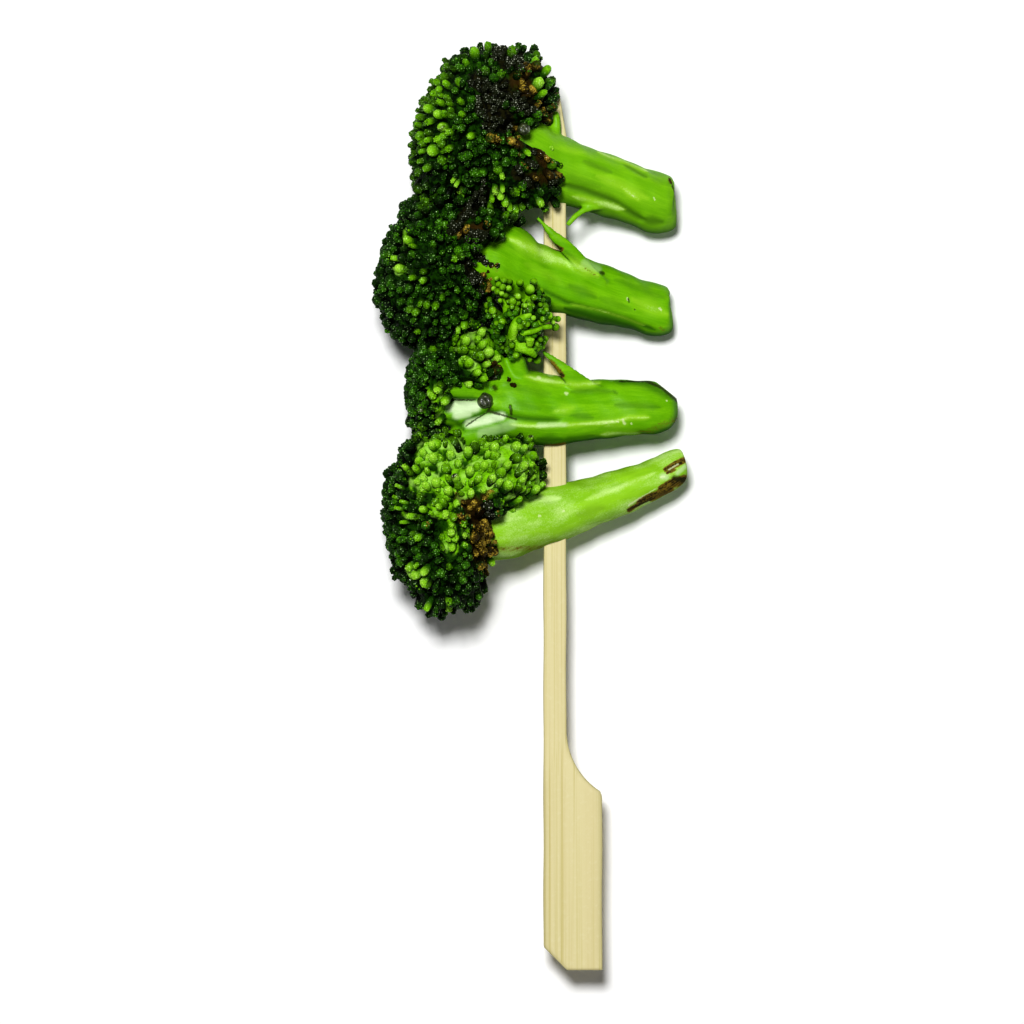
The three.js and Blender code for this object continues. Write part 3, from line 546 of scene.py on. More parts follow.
class Value:
    """A node socket in an expression: arithmetic on it adds Math nodes."""

    def __init__(self, finish, socket):
        self.finish = finish
        self.socket = socket

    def maths(self, operation, *others):
        """The Math node of this value and others."""
        return self.finish.node("ShaderNodeMath", {"operation": operation}, dict(enumerate((self, *others))))

    def __add__(self, other):
        return self.maths("ADD", other)

    __radd__ = __add__

    def __sub__(self, other):
        return self.maths("SUBTRACT", other)

    def __rsub__(self, other):
        return self.finish.node("ShaderNodeMath", {"operation": "SUBTRACT"}, {0: other, 1: self})

    def __mul__(self, other):
        return self.maths("MULTIPLY", other)

    __rmul__ = __mul__

    def clamp(self):
        return self.finish.node("ShaderNodeClamp", {}, {"Value": self})


class Finish:
    """A material and its nodes."""

    def __init__(self, name):
        self.material = bpy.data.materials.new(name)
        self.material.use_nodes = True
        self.tree = self.material.node_tree
        self.tree.nodes.clear()
        self.shader = self.tree.nodes.new("ShaderNodeBsdfPrincipled")
        output = self.tree.nodes.new("ShaderNodeOutputMaterial")
        self.tree.links.new(self.shader.outputs[0], output.inputs["Surface"])

    def feed(self, socket, value):
        """Links a Value to a socket, or sets the socket's own number or colour."""
        if isinstance(value, Value):
            self.tree.links.new(value.socket, socket)
        elif hasattr(value, "__len__") and len(value) == 3 and len(socket.default_value) == 4:
            socket.default_value = (*value, 1.0)
        else:
            socket.default_value = value

    def node(self, kind, settings, inputs, output=0):
        """Adds one node: its settings first, then the values or links of its sockets."""
        node = self.tree.nodes.new(kind)
        for key, value in settings.items():
            setattr(node, key, value)
        for key, value in inputs.items():
            self.feed(node.inputs[key], value)
        return Value(self, node.outputs[output])

    def here(self):
        """The place on the piece, in metres."""
        return self.node("ShaderNodeTexCoord", {}, {}, "Object")

    def attribute(self, name, output="Fac"):
        """A point attribute of the mesh, as a number unless another output is named."""
        return self.node("ShaderNodeAttribute", {"attribute_name": name}, {}, output)

    def attributes(self, *names):
        """Several point attributes as numbers."""
        return [self.attribute(name) for name in names]

    def blend(self, mask, first, second):
        """first where the mask is 0, second where it is 1."""
        settings = {"data_type": "RGBA", "blend_type": "MIX", "clamp_factor": True}
        return self.node("ShaderNodeMix", settings, {0: mask, 6: first, 7: second}, 2)

    def noise(self, vector, scale, detail=3.0, roughness=0.5):
        """A soft noise around one half."""
        sockets = {"Vector": vector, "Scale": scale, "Detail": detail, "Roughness": roughness}
        return self.node("ShaderNodeTexNoise", {}, sockets)

    def grain(self, vector, scales, detail=2.0, roughness=0.5):
        """A noise with its own scale along x, y and z, which draws it out into streaks."""
        stretched = self.node("ShaderNodeMapping", {}, {"Vector": vector, "Scale": scales})
        return self.noise(stretched, 1.0, detail, roughness)

    def steps(self, value, low, high):
        """0 below low and 1 above high, eased between."""
        settings = {"interpolation_type": "SMOOTHSTEP"}
        return self.node("ShaderNodeMapRange", settings, {"Value": value, "From Min": low, "From Max": high})

    def vector(self, operation, *inputs, output=0):
        """Vector Math on vectors, links or both."""
        return self.node("ShaderNodeVectorMath", {"operation": operation}, dict(enumerate(inputs)), output)

    def ragged(self, vector, scale, reach):
        """The vector moved about by a noise, by up to half the reach each way across and along."""
        noise = self.node("ShaderNodeTexNoise", {}, {"Vector": vector, "Scale": scale, "Detail": 2.0}, 1)
        shift = self.vector("MULTIPLY_ADD", noise, (reach, reach, 0.0), (-reach / 2, -reach / 2, 0.0))
        return self.vector("ADD", vector, shift)

    def capsules(self, here, marks):
        """1 in narrow capsules as seen from above and 0 outside them: the distance from the line between the two
        ends, against the radius."""
        flat = self.vector("MULTIPLY", here, (1.0, 1.0, 0.0))
        total = None
        for x0, y0, x1, y1, radius in marks:
            start, stop = place([(x0, y0, 0), (x1, y1, 0)]) * (1, 1, 0)
            line = stop - start
            offset = self.vector("SUBTRACT", flat, tuple(start))
            share = self.vector("DOT_PRODUCT", offset, tuple(line / (line @ line)), output=1).clamp()
            foot = self.node("ShaderNodeVectorMath", {"operation": "SCALE"}, {0: tuple(line), 3: share})
            away = self.vector("DISTANCE", offset, foot, output=1)
            inside = 1 - self.steps(away, 0.35 * radius * MM, 1.6 * radius * MM)
            total = inside if total is None else total.maths("MAXIMUM", inside)
        return total

    def bump(self, height, strength, distance):
        """A normal that a height tilts, with its full rise in metres."""
        return self.node("ShaderNodeBump", {}, {"Strength": strength, "Distance": distance, "Height": height})

    def set(self, **inputs):
        """Feeds the shader's sockets, named with underscores for spaces, and gives the material."""
        for key, value in inputs.items():
            self.feed(self.shader.inputs[key.replace("_", " ")], value)
        return self.material


# Further colours of the bamboo: its soft bands, its light specks and the painted shade on its sides.
BAMBOO_BAND = (0.63, 0.55, 0.28)
BAMBOO_SPECK = (0.73, 0.67, 0.41)
BAMBOO_SIDE_SHADE = (0.33, 0.30, 0.12)


def bamboo_finish(settings):
    """Pale bamboo: fine darker fibres along the slat, soft bands and a dull sheen."""
    f = Finish("bamboo")
    here = f.here()
    lines = f.steps(f.grain(here, (1300.0, 5.0, 1300.0)), 0.57, 0.66)
    hairs = f.steps(f.grain(here, (3200.0, 14.0, 3200.0)), 0.50, 0.68)
    broad = f.grain(here, (420.0, 6.0, 420.0))
    mottle = f.noise(here, 900.0, 3.0, 0.6)
    edge = f.attribute("edge")
    pale = f.blend(f.steps(broad, 0.35, 0.7) * 0.6, settings.wood, BAMBOO_BAND)
    pale = f.blend(f.steps(mottle, 0.5, 0.75) * 0.3, pale, BAMBOO_SPECK)
    lined = f.blend((lines * 0.55 + hairs * 0.28).clamp(), pale, settings.fibre)
    # The slat's two sides are darkened by painted shade.
    return f.set(
        Base_Color=f.blend(edge * 0.6, lined, BAMBOO_SIDE_SHADE), Roughness=0.5 + 0.15 * hairs,
        Normal=f.bump(mottle * 0.4 - lines, 0.25, 0.0002), Specular_IOR_Level=0.3,
    )


# Pieces

# Sections along the skewer's grip, neck, stick and tip, and the points round each. A section is a superellipse.
SKEWER_SECTIONS = (60, 60, 160, 36)
SKEWER_SIDES = 44
SKEWER_ROUNDING = 2 / 9
NECK_START = GRIP_LENGTH - 3
NECK_END = GRIP_LENGTH + NECK_RADIUS * math.sin(NECK_SWEEP)
TIP_START = SKEWER_LENGTH - TIP_LENGTH

# The grip's shoulder is worn back by this much, from below its corner to just past it.
SHOULDER_WEAR = 0.5
SHOULDER_BELOW = 1.4
SHOULDER_PAST = 0.4

# The slat thins towards its tip by this share, and its edges waver by this much.
TIP_THINNING = 0.3
EDGE_WAVER = 0.05


def build_skewer(settings):
    """The skewer: a stack of cross-sections along y, each a rounded box whose width follows the outline."""
    half = STICK_WIDTH / 2
    stops = (0, NECK_START, NECK_END + 1, TIP_START, SKEWER_LENGTH)
    y = np.unique(np.concatenate([
        np.linspace(start, stop, count) for start, stop, count in zip(stops, stops[1:], SKEWER_SECTIONS)
    ]))
    left = -half + np.maximum(0, GRIP_CORNER_CUT - y)
    arc = NECK_RADIUS - np.sqrt(np.maximum(0, NECK_RADIUS**2 - np.maximum(0, NECK_END - y) ** 2))
    wear = SHOULDER_WEAR * smooth_step(y, GRIP_LENGTH - SHOULDER_BELOW, GRIP_LENGTH + SHOULDER_PAST)
    right = np.where(y > GRIP_LENGTH, half + arc, GRIP_WIDTH - half)
    right = np.where(y > GRIP_LENGTH - SHOULDER_BELOW, np.minimum(right, GRIP_WIDTH - half - wear), right)
    taper = np.clip((y - TIP_START) / TIP_LENGTH, 0, 1)
    left = left * (1 - taper) - TIP_HALF_WIDTH * taper
    right = right * (1 - taper) + TIP_HALF_WIDTH * taper
    thick = STICK_THICKNESS + (GRIP_THICKNESS - STICK_THICKNESS) * (1 - smooth_step(y, GRIP_LENGTH, NECK_END))
    thick = thick * (1 - TIP_THINNING * taper)
    left = left + EDGE_WAVER * np.sin(y * 0.31) * (1 - taper)
    right = right + EDGE_WAVER * np.sin(y * 0.27 + 1) * (1 - taper)
    turn = (np.arange(SKEWER_SIDES) + 0.5) / SKEWER_SIDES * 2 * math.pi
    round_x = np.sign(np.cos(turn)) * np.abs(np.cos(turn)) ** SKEWER_ROUNDING
    round_z = np.sign(np.sin(turn)) * np.abs(np.sin(turn)) ** SKEWER_ROUNDING
    middle, wide = (left + right) / 2, (right - left) / 2
    grid = np.empty((len(y), SKEWER_SIDES, 3))
    grid[..., 0] = middle[:, None] + wide[:, None] * round_x
    grid[..., 1] = y[:, None]
    grid[..., 2] = SKEWER_Z + thick[:, None] / 2 * round_z
    ends = np.array([[middle[0], y[0], SKEWER_Z], [middle[-1], y[-1], SKEWER_Z]])
    points = np.concatenate([grid.reshape(-1, 3), ends])
    quads, triangles = closed_tube_faces(len(y), SKEWER_SIDES)
    mesh = new_mesh("skewer_bamboo", points, quads[:, ::-1], triangles[:, ::-1])
    # The sides' mark is 1 on the slat's left and right sides, where shade is painted.
    paint(mesh, edge=np.concatenate([np.tile(np.abs(round_x) ** 12, len(y)), [1, 1]]))
    new_piece("skewer_bamboo", mesh, bamboo_finish(settings), "skewer")


# How far the two ends of a stem or twig bulge, as shares of their radius.
CUT_BULGE = 0.09
TIP_BULGE = 0.3


def tube(rows, sides, ridge=0.0, flat=1.0, per_span=8, phase=0.0):
    """A stem or twig: rings carried along a smooth line. The ring's radius is that of the line, times one plus
    three low ribs and an oval, and each end closes on one bulging point."""
    line = smooth_line(rows, per_span)
    tangent = unit(np.gradient(line[:, :3], axis=0))
    side = sideways(tangent)
    top = np.cross(side, tangent)
    turn = np.arange(sides) / sides * 2 * math.pi
    rib = 1 + ridge * np.cos(3 * turn + phase) + 0.5 * ridge * np.cos(2 * turn)
    radius = line[:, 3]
    across = radius[:, None] * rib[None]
    ring = line[:, None, :3] + side[:, None] * (across * np.cos(turn))[..., None]
    ring = ring + top[:, None] * (across * np.sin(turn) * flat)[..., None]
    ends = np.stack([
        line[0, :3] - tangent[0] * CUT_BULGE * radius[0], line[-1, :3] + tangent[-1] * TIP_BULGE * radius[-1],
    ])
    quads, triangles = closed_tube_faces(len(line), sides)
    return np.concatenate([ring.reshape(-1, 3), ends]), quads, triangles


def join(shapes):
    """Several (points, quads, triangles) as one."""
    points, quads, triangles, start = [], [], [], 0
    for p, q, t in shapes:
        points.append(p)
        quads.append(q + start)
        triangles.append(t + start)
        start += len(p)
    return np.concatenate(points), np.concatenate(quads), np.concatenate(triangles)


def head_radius(head):
    """The radius of a head towards unit directions: an outline from above, domed up and down."""
    centre = np.array(head["centre"])
    line = smooth_line(np.array(head["outline"]) - centre[:2], 12, closed=True)
    turn = np.arctan2(line[:, 1], line[:, 0])
    reach = np.hypot(line[:, 0], line[:, 1])
    order = np.argsort(turn)
    turn, reach = turn[order], reach[order] - CLUSTER_HEIGHT

    def radius(direction):
        flat = np.hypot(direction[..., 0], direction[..., 1])
        out = np.interp(np.arctan2(direction[..., 1], direction[..., 0]), turn, reach, period=2 * math.pi)
        rise = np.where(direction[..., 2] > 0, head["up"], head["down"]) - CLUSTER_HEIGHT
        return 1 / np.hypot(flat / out, direction[..., 2] / rise)

    return radius


def head_relief(head, floret):
    """head_radius with the hollow under the head beside the stem and the grooves between its lobes."""
    radius = head_radius(head)
    root = np.array(floret["stem"][-4][:3]) - np.array(head["centre"])
    stem_side = unit(root)
    lobes = spiral_points(head["lobes"])

    def relief(direction):
        facing = smooth_step(direction @ stem_side, 0.25, 0.8)
        below = smooth_step(-direction[..., 2], 0.05, 0.45)
        angles = np.sort(np.arccos(np.clip(direction @ lobes.T, -1, 1)), axis=-1)
        inside = np.minimum(1, (angles[..., 1] - angles[..., 0]) / LOBE_GROOVE_WIDTH)
        groove = 1 - LOBE_GROOVE * (1 - inside) ** 2
        return radius(direction) * (1 - UNDERCUT * facing * below) * groove

    return relief


def spiral_points(count):
    """Points spread evenly over the unit sphere along a golden spiral."""
    i = np.arange(count)
    z = 1 - (2 * i + 1) / count
    across = np.sqrt(1 - z * z)
    return np.stack([across * np.cos(i * GOLDEN_ANGLE), across * np.sin(i * GOLDEN_ANGLE), z], 1)


def turned(v, axis, angle):
    """Vectors turned about axes square to them by angles: v cos + (axis x v) sin."""
    return v * np.cos(angle)[:, None] + np.cross(axis, v) * np.sin(angle)[:, None]


def cluster_peaks(head):
    """The direction of each bud cluster's peak, and the angle between neighbours."""
    count = head["clusters"]
    spacing = math.sqrt(4 * math.pi / count)
    peaks = spiral_points(count)
    shake = (draw(np.arange(count)) - 0.5) * 2 * CLUSTER_JITTER * spacing
    return turned(peaks, sideways(peaks), shake), spacing


def branch_rows(floret):
    """The branches that spread from the crown into the lobes round the rim of the head."""
    head = floret["heads"][0]
    centre = np.array(head["centre"])
    neck = np.array(floret["stem"][-2][:3])
    axis = unit(centre - neck)
    radius = head_radius(head)
    first = sideways(axis)
    second = np.cross(axis, first)
    rows = []
    for k in range(BRANCH_COUNT):
        angle = (k + 0.5) * 2 * math.pi / BRANCH_COUNT
        out = unit(first * math.cos(angle) + second * math.sin(angle) + axis * BRANCH_RISE)
        tip = centre + out * radius(out) * BRANCH_REACH
        middle = (neck + tip) / 2 - axis * 0.8
        rows.append(((*neck, 3.4), (*middle, 2.6), (*tip, 1.9)))
    return rows


# Marks on the stems as seen from above. A band is a line of x, y points with its half width, its depth (a groove
# where it is negative) and its tint: painted shade where it is negative and a painted highlight where it is
# positive. A burn or a bleached place is a soft capsule: x, y of its two ends, its radius and its strength.
STEM_MARKS = {
    "1": {
        "pale": 0.14,
        "bands": (
            (((1.6, 157), (5.5, 156.2), (9, 155), (12.4, 153.5), (15.6, 151.4), (18, 150.3)), 0.75, -0.40, -1.0),
            (((17.4, 150.4), (21.6, 150)), 1.2, -0.10, -0.9), (((8, 150.8), (21, 147.4)), 0.9, 0.0, -0.8),
            (((5.7, 161.9), (11.4, 159.8)), 0.6, -0.08, -0.6), (((2, 158.8), (9, 156.8)), 0.8, 0.0, -0.35),
            (((13.8, 161.4), (18.6, 158.9)), 0.4, -0.12, -0.75), (((8.4, 164), (18.7, 160)), 0.4, 0.12, 0.75),
            (((6, 165.6), (22, 159.4)), 0.4, 0.0, -0.25), (((3.4, 155), (8, 154.1), (14, 152.2)), 0.7, 0.06, 0.7),
            (((0, 164.6), (6, 163.6)), 1.1, 0.0, 0.35), (((8.4, 159), (13, 157.2), (18.6, 154.6)), 1.2, 0.0, 0.55),
            (((13.4, 156.8), (16.8, 154.4)), 0.9, 0.0, 0.85), (((22.8, 158.4), (23.6, 150.6)), 0.5, 0.0, -0.3),
        ),
        "scorch": ((23, 158.6, 23.3, 157.8, 0.4, 0.7), (23.8, 156.6, 24.2, 155.6, 0.3, 0.5)),
        "bleached": (),
    },
    "2": {
        "pale": 0.0,
        "bands": (
            (((-9, 146.4), (0, 142.4), (5, 140.8), (8.6, 139.2)), 1.3, 0.0, 0.75),
            (((-8, 144.6), (-1, 141.4)), 0.7, 0.0, 0.35),
            (((1.6, 144.2), (5, 141.4), (8.4, 138.9)), 0.35, -0.22, -0.65),
            (((-3, 136.4), (2.2, 133.7), (5.5, 132.9), (10, 131.8), (16, 129.8), (20, 128.2)), 0.5, -0.30, -0.9),
            (((2, 132.4), (6, 131.6), (12, 130), (18, 128)), 1.3, 0.0, -1.0),
            (((3, 133.3), (8, 132.4), (13, 130.9), (18, 129.2)), 0.22, 0.10, 0.55),
            (((3, 137), (8, 134.8)), 1.5, 0.0, -0.5), (((9, 134.6), (15, 132.4)), 1.2, 0.0, -0.3),
            (((15.6, 134.4), (22.6, 131.6)), 1.6, 0.0, 0.5), (((12, 138.4), (22, 134.8)), 0.8, 0.0, -0.35),
            (((-6, 141.4), (1, 138.2)), 0.9, 0.0, 0.2), (((-1.4, 145.7), (1.3, 144.2)), 0.5, -0.25, -1.0),
        ),
        "scorch": (
            (-1.6, 145.7, 1.3, 144.3, 0.55, 1.0), (-17.6, 147.2, -14, 146.4, 1.5, 0.9),
            (-12.8, 141, -11.6, 140, 0.7, 0.45), (6, 140.6, 8.6, 138.9, 0.22, 0.62),
            (21.2, 128.8, 21.8, 128.4, 0.6, 0.42),
        ),
        "bleached": ((-11.4, 146.8, -10.6, 146.6, 0.7, 0.7), (6, 141.6, 8.6, 140.6, 0.9, 0.25)),
    },
    "3": {
        "pale": 0.0,
        "bands": (
            (((-13, 111.9), (-9, 110.8), (-4, 110.2), (1, 110.1)), 0.6, -0.50, -0.95),
            (((-12.4, 112.2), (-15.6, 111.1), (-18.8, 109.4)), 0.5, -0.60, -1.0),
            (((-23, 114.5), (-15.4, 114.4)), 0.6, -0.40, -1.0),
            (((-22.4, 110.4), (-19.8, 110), (-18, 108)), 0.6, -0.30, -0.9),
            (((-17.6, 107.8), (-12, 108.4)), 0.5, 0.0, -0.3), (((3.2, 111.2), (7.6, 110.6)), 0.7, 0.0, -0.5),
            (((12, 113.3), (21, 112.8)), 0.7, 0.0, -0.5),
            (((3.2, 115.8), (9, 116.2), (11.4, 115.9)), 0.6, -0.10, -0.5),
            (((11.6, 116), (12.4, 115.5)), 0.6, -0.10, -0.7),
            (((-9, 109.2), (-3, 109), (3, 109.2), (8, 109.6), (12, 109.9), (15, 110.7), (19, 110.8)), 0.5, 0.10, 0.85),
            (((-6, 118.9), (0, 117.8), (4.5, 117.2), (9, 117.7)), 0.7, 0.0, 0.75),
            (((0, 111.9), (3.6, 112.6)), 1.2, 0.0, 0.5), (((-3.4, 106.4), (1.4, 106.2)), 1.1, 0.0, -0.85),
            (((1.4, 106), (8, 107.2)), 0.6, 0.0, -0.7), (((9, 107.4), (17, 107.5)), 0.5, 0.0, 0.6),
            (((12, 117.9), (18, 117.9), (23.6, 114.4)), 0.8, 0.0, -0.7),
            (((-8, 116.4), (-1, 115.4)), 1.0, 0.0, -0.3), (((-8, 113.6), (-3, 112.4)), 0.8, 0.0, -0.3),
            (((10, 109), (14.4, 109.4)), 0.9, 0.0, 0.35), (((-10, 117.6), (-7, 117)), 0.8, 0.0, -0.5),
        ),
        "scorch": (
            (-0.6, 121.6, 1.2, 119.6, 0.6, 0.8), (1.1, 119.4, 1.6, 119, 0.5, 1.0),
            (-2.4, 122, -0.8, 121.6, 0.9, 0.7), (-8.6, 117.8, -7.4, 116.6, 0.5, 0.35),
            (17, 107.4, 24.4, 110.4, 1.1, 0.40), (-2, 104.8, 2, 105.2, 0.7, 0.8),
        ),
        "bleached": (
            (-20.8, 112.9, -16, 112.8, 1.3, 1.0), (-17.2, 109.4, -10.8, 110.9, 1.0, 0.95),
            (-19.6, 111.2, -17.4, 111.6, 1.0, 0.8), (-14.6, 107.4, -8.6, 109.2, 1.1, 0.35),
            (-3.4, 109.1, 2, 109.2, 0.5, 0.45), (-1.4, 120, -0.8, 119.6, 0.7, 0.4),
        ),
    },
    "4": {
        "pale": 0.55,
        "bands": (
            (((2, 97.9), (9, 99.6), (15, 101)), 0.6, 0.0, -0.9), (((1, 96.9), (9, 97.6)), 0.8, 0.0, -0.4),
            (((4.6, 91.2), (9.6, 92.6)), 1.2, -0.06, -0.55), (((-3, 91.4), (2, 92.2)), 0.7, 0.0, -0.3),
            (((-8, 94.6), (1, 94.6)), 1.6, 0.0, 0.8), (((6, 94.2), (12, 96.2), (20, 99.6)), 1.3, 0.05, 0.8),
            (((3, 88.2), (8, 89.9), (14, 92)), 0.7, 0.0, 0.6), (((17.6, 99), (20, 99.6)), 0.9, 0.0, 0.6),
            (((-8, 88.6), (1.6, 88.4)), 1.1, 0.0, 0.45), (((-11, 85), (-4, 85), (0, 86)), 1.4, 0.0, -0.7),
            (((20, 103.4), (25, 104)), 0.8, 0.0, 0.3), (((11, 96.4), (17, 98)), 0.5, 0.0, -0.25),
        ),
        "scorch": (
            (22.4, 100.4, 25.8, 102.2, 0.85, 1.0), (22.6, 99.6, 24, 100.2, 0.40, 0.8),
            (14.8, 92.2, 17, 93.4, 0.5, 1.0), (17, 93.8, 20, 95.3, 0.8, 1.0), (19.4, 94.7, 23, 96.4, 1.15, 0.95),
            # The last two burns of stem 4, along its lower edge by the head, are a brown tint with painted shade.
            (21, 96.6, 24, 98.4, 0.6, 0.9), (23.8, 97.6, 26, 98.4, 1.2, 1.0), (-12.4, 84.4, -1, 84.6, 1.0, 0.45),
            (-2, 84.6, 2.4, 86.4, 0.5, 0.45),
        ),
        "bleached": (
            (21.6, 98.9, 22.2, 98.8, 0.7, 0.5), (24.6, 99.6, 26.2, 101, 0.5, 0.5),
            (-7.6, 104.6, -7, 103.6, 0.9, 0.5),
        ),
    },
}

# How much darker the sides of a stem are painted than its back: painted shade.
SIDE_SHADE = 0.95

# Small sharp marks of the stems, painted by the shader as narrow capsules: x, y of both ends and the radius.
# Dark pits and scars, with lines of painted shade in the creases round the bleached branches and along some stem
# edges.
PIT_AND_CREASE_LINES = (
    (9.3, 139.8, 9.7, 139.65, 0.36), (14.75, 134.6, 14.85, 133.9, 0.16), (16.0, 132.4, 16.05, 132.35, 0.14),
    (-8.95, 113, -8.75, 111.3, 0.28), (-12.15, 116.7, -12, 116.5, 0.5), (1.25, 119.3, 1.6, 119.0, 0.3),
    (12.9, 117.95, 18.4, 118.05, 0.16), (18.4, 118.1, 21.5, 116.7, 0.34), (21.5, 116.7, 24.7, 114.1, 0.4),
    (23.05, 158.6, 23.4, 157.8, 0.26), (23.4, 157.7, 24.2, 155.4, 0.12), (2.2, 98.0, 7.6, 99.2, 0.18),
    (24, 98.6, 25.8, 98.2, 0.5), (-0.6, 145.4, 1.2, 144.4, 0.22), (14.6, 92.2, 20, 94.6, 0.16),
    (-12.6, 113.4, -13.4, 111.8, 0.26), (-13.4, 111.8, -17.8, 109, 0.13), (-13.2, 111.9, -11, 111.3, 0.24),
    (-11, 111.3, -7.8, 110.3, 0.18), (-21.8, 114.2, -15.8, 114.1, 0.12),
)
# Cream streaks and white pits, with painted glints among them on the stems' highlight bands.
CREAM_MARKS_AND_GLINTS = (
    (14.8, 93.15, 17.2, 94.7, 0.17), (17.2, 94.7, 20.1, 96.4, 0.11), (22.8, 100.3, 24.7, 101.4, 0.15),
    (2.15, 115.55, 2.35, 115.45, 0.30), (13.6, 110.2, 13.9, 109.5, 0.26), (12.4, 109.9, 12.6, 109.85, 0.16),
    (11.4, 109.9, 11.6, 109.85, 0.14), (10.2, 109.6, 10.3, 109.6, 0.15), (15.2, 109.6, 15.3, 109.4, 0.14),
    (1.65, 92.0, 1.8, 92.0, 0.2), (-3.2, 91.0, -3, 91, 0.24), (21.0, 132.7, 21.3, 132.4, 0.22),
    (14.5, 134.8, 14.55, 134.2, 0.12), (19.8, 154.8, 20.0, 154.4, 0.16), (-3.4, 118.7, -3.1, 118.6, 0.3),
    (22.35, 114.2, 22.45, 114.1, 0.14), (-11.1, 147.1, -10.8, 146.9, 0.26), (21.3, 98.8, 21.9, 98.9, 0.2),
    (15.6, 155.2, 15.7, 155, 0.12),
)


# Further colours of the stems: paler skin and painted highlights in two steps, bleached skin, the cut end's pith and
# rim, scorched brown and black, cream streaks with painted glints among them, and dark pits and scars with painted
# shade in creases.
PALER_STEM_AND_HIGHLIGHT = (0.40, 0.72, 0.035)
PALEST_STEM_AND_HIGHLIGHT = (0.62, 0.88, 0.30)
STEM_BLEACHED = (0.64, 0.80, 0.48)
STEM_PITH = (0.40, 0.62, 0.12)
STEM_RIM = (0.24, 0.44, 0.04)
SCORCH_BROWN = (0.19, 0.135, 0.012)
SCORCH_BLACK = (0.018, 0.012, 0.003)
CREAM_AND_GLINT_COLOUR = (0.80, 0.88, 0.50)
PIT_AND_CREASE_SHADE_COLOUR = (0.018, 0.020, 0.003)


def stalk_finish(settings):
    """Moist stem skin: soft bands along the stem with fainter fine ones, the paler skin of some stems, painted
    highlights along pale ribs and bands, painted shade in dark grooves and on the sides, browned scars, a few small
    pits and cream streaks with painted glints and crease shade among them, and a wet sheen that a fine grain breaks
    up."""
    f = Finish("stem_skin")
    along = f.attribute("grain", "Vector")
    pale, scorch, end, shaded, bleached = f.attributes("pale", "scorch", "end", "shaded", "bleached")
    streaks = f.grain(along, (0.055, 0.5, 0.5), 4.0, 0.6)
    fine = f.grain(along, (0.30, 3.4, 3.4))
    blotches = f.grain(along, (0.12, 0.30, 0.30), 3.0)
    grit = f.noise(along, 2.6, 3.0, 0.6)
    specks = f.noise(along, 5.0, 2.0, 0.6)
    light = f.steps(streaks + (fine - 0.5) * 0.30 + (specks - 0.5) * 0.25, 0.30, 0.85)
    skin = f.blend(light * 0.75, settings.skin, settings.light)
    skin = f.blend(f.steps(blotches, 0.45, 0.85) * 0.35, skin, settings.shade)
    # Painted shade on the stems' sides and along the dark bands.
    skin = f.blend((shaded * (0.75 + 0.35 * streaks)).clamp(), skin, settings.shade)
    # Paler skin of some stems and painted highlights along the pale bands, in two steps.
    skin = f.blend((pale * (0.85 + 0.25 * (streaks - 0.5))).clamp(), skin, PALER_STEM_AND_HIGHLIGHT)
    broken = pale + (blotches - 0.5) * 1.3 + (grit - 0.5) * 0.5 + (specks - 0.5) * 0.45
    skin = f.blend(f.steps(broken, 0.42, 1.05) * 0.85, skin, PALEST_STEM_AND_HIGHLIGHT)
    skin = f.blend((bleached * (0.85 + 0.3 * fine)).clamp(), skin, STEM_BLEACHED)
    skin = f.blend(end.clamp() * 0.6, skin, f.blend(f.steps(grit, 0.4, 0.62), STEM_PITH, STEM_RIM))
    burnt = f.steps(scorch + (grit - 0.5) * 0.7 + (fine - 0.5) * 0.5, 0.28, 0.66)
    deep = f.steps(scorch + (grit - 0.5) * 1.3 + (fine - 0.5) * 1.2, 0.62, 1.25)
    colour = f.blend(burnt, skin, f.blend(deep, SCORCH_BROWN, SCORCH_BLACK))
    ragged = f.ragged(f.here(), 2200.0, 0.0005)
    # Cream streaks with painted glints among them.
    streak_and_glint_mask = f.capsules(ragged, CREAM_MARKS_AND_GLINTS)
    # Dark pits and scars, with lines of painted shade in creases.
    pit_and_crease_shade = f.capsules(ragged, PIT_AND_CREASE_LINES)
    colour = f.blend(streak_and_glint_mask * 0.55, colour, CREAM_AND_GLINT_COLOUR)
    colour = f.blend(pit_and_crease_shade * 0.85, colour, PIT_AND_CREASE_SHADE_COLOUR)
    height = streaks * 0.5 + grit * 0.22 + specks * 0.10 - burnt * 0.5 - pit_and_crease_shade * 0.8
    return f.set(
        Base_Color=colour, Roughness=0.26 + 0.40 * burnt + 0.2 * grit + 0.45 * shaded,
        Normal=f.bump(height, 0.45, 0.0004), Specular_IOR_Level=0.11,
    )


# Steps of a stem's line in each span, and how many points are measured against it at a time.
STEM_STEPS = 24
BATCH = 20000


def stem_coordinates(points, rows):
    """Where points lie on a stem: millimetres from its cut end, the direction round it and the distance from
    its middle as a share of its radius."""
    line = smooth_line(rows, STEM_STEPS)
    steps = np.linalg.norm(np.diff(line[:, :3], axis=0), axis=1)
    length = np.concatenate([[0], np.cumsum(steps)])
    tangent = unit(np.gradient(line[:, :3], axis=0))
    nearest = np.empty(len(points), int)
    for part in np.array_split(np.arange(len(points)), max(1, len(points) // BATCH)):
        away = points[part, None] - line[None, :, :3]
        nearest[part] = np.argmin(np.einsum("ijk,ijk->ij", away, away), axis=1)
    offset = points - line[nearest, :3]
    t = tangent[nearest]
    past = np.einsum("ij,ij->i", offset, t)
    side = sideways(t)
    top = np.cross(side, t)
    u, v = np.einsum("ij,ij->i", offset, side), np.einsum("ij,ij->i", offset, top)
    return length[nearest] + past, u, v, np.hypot(u, v) / line[nearest, 3]


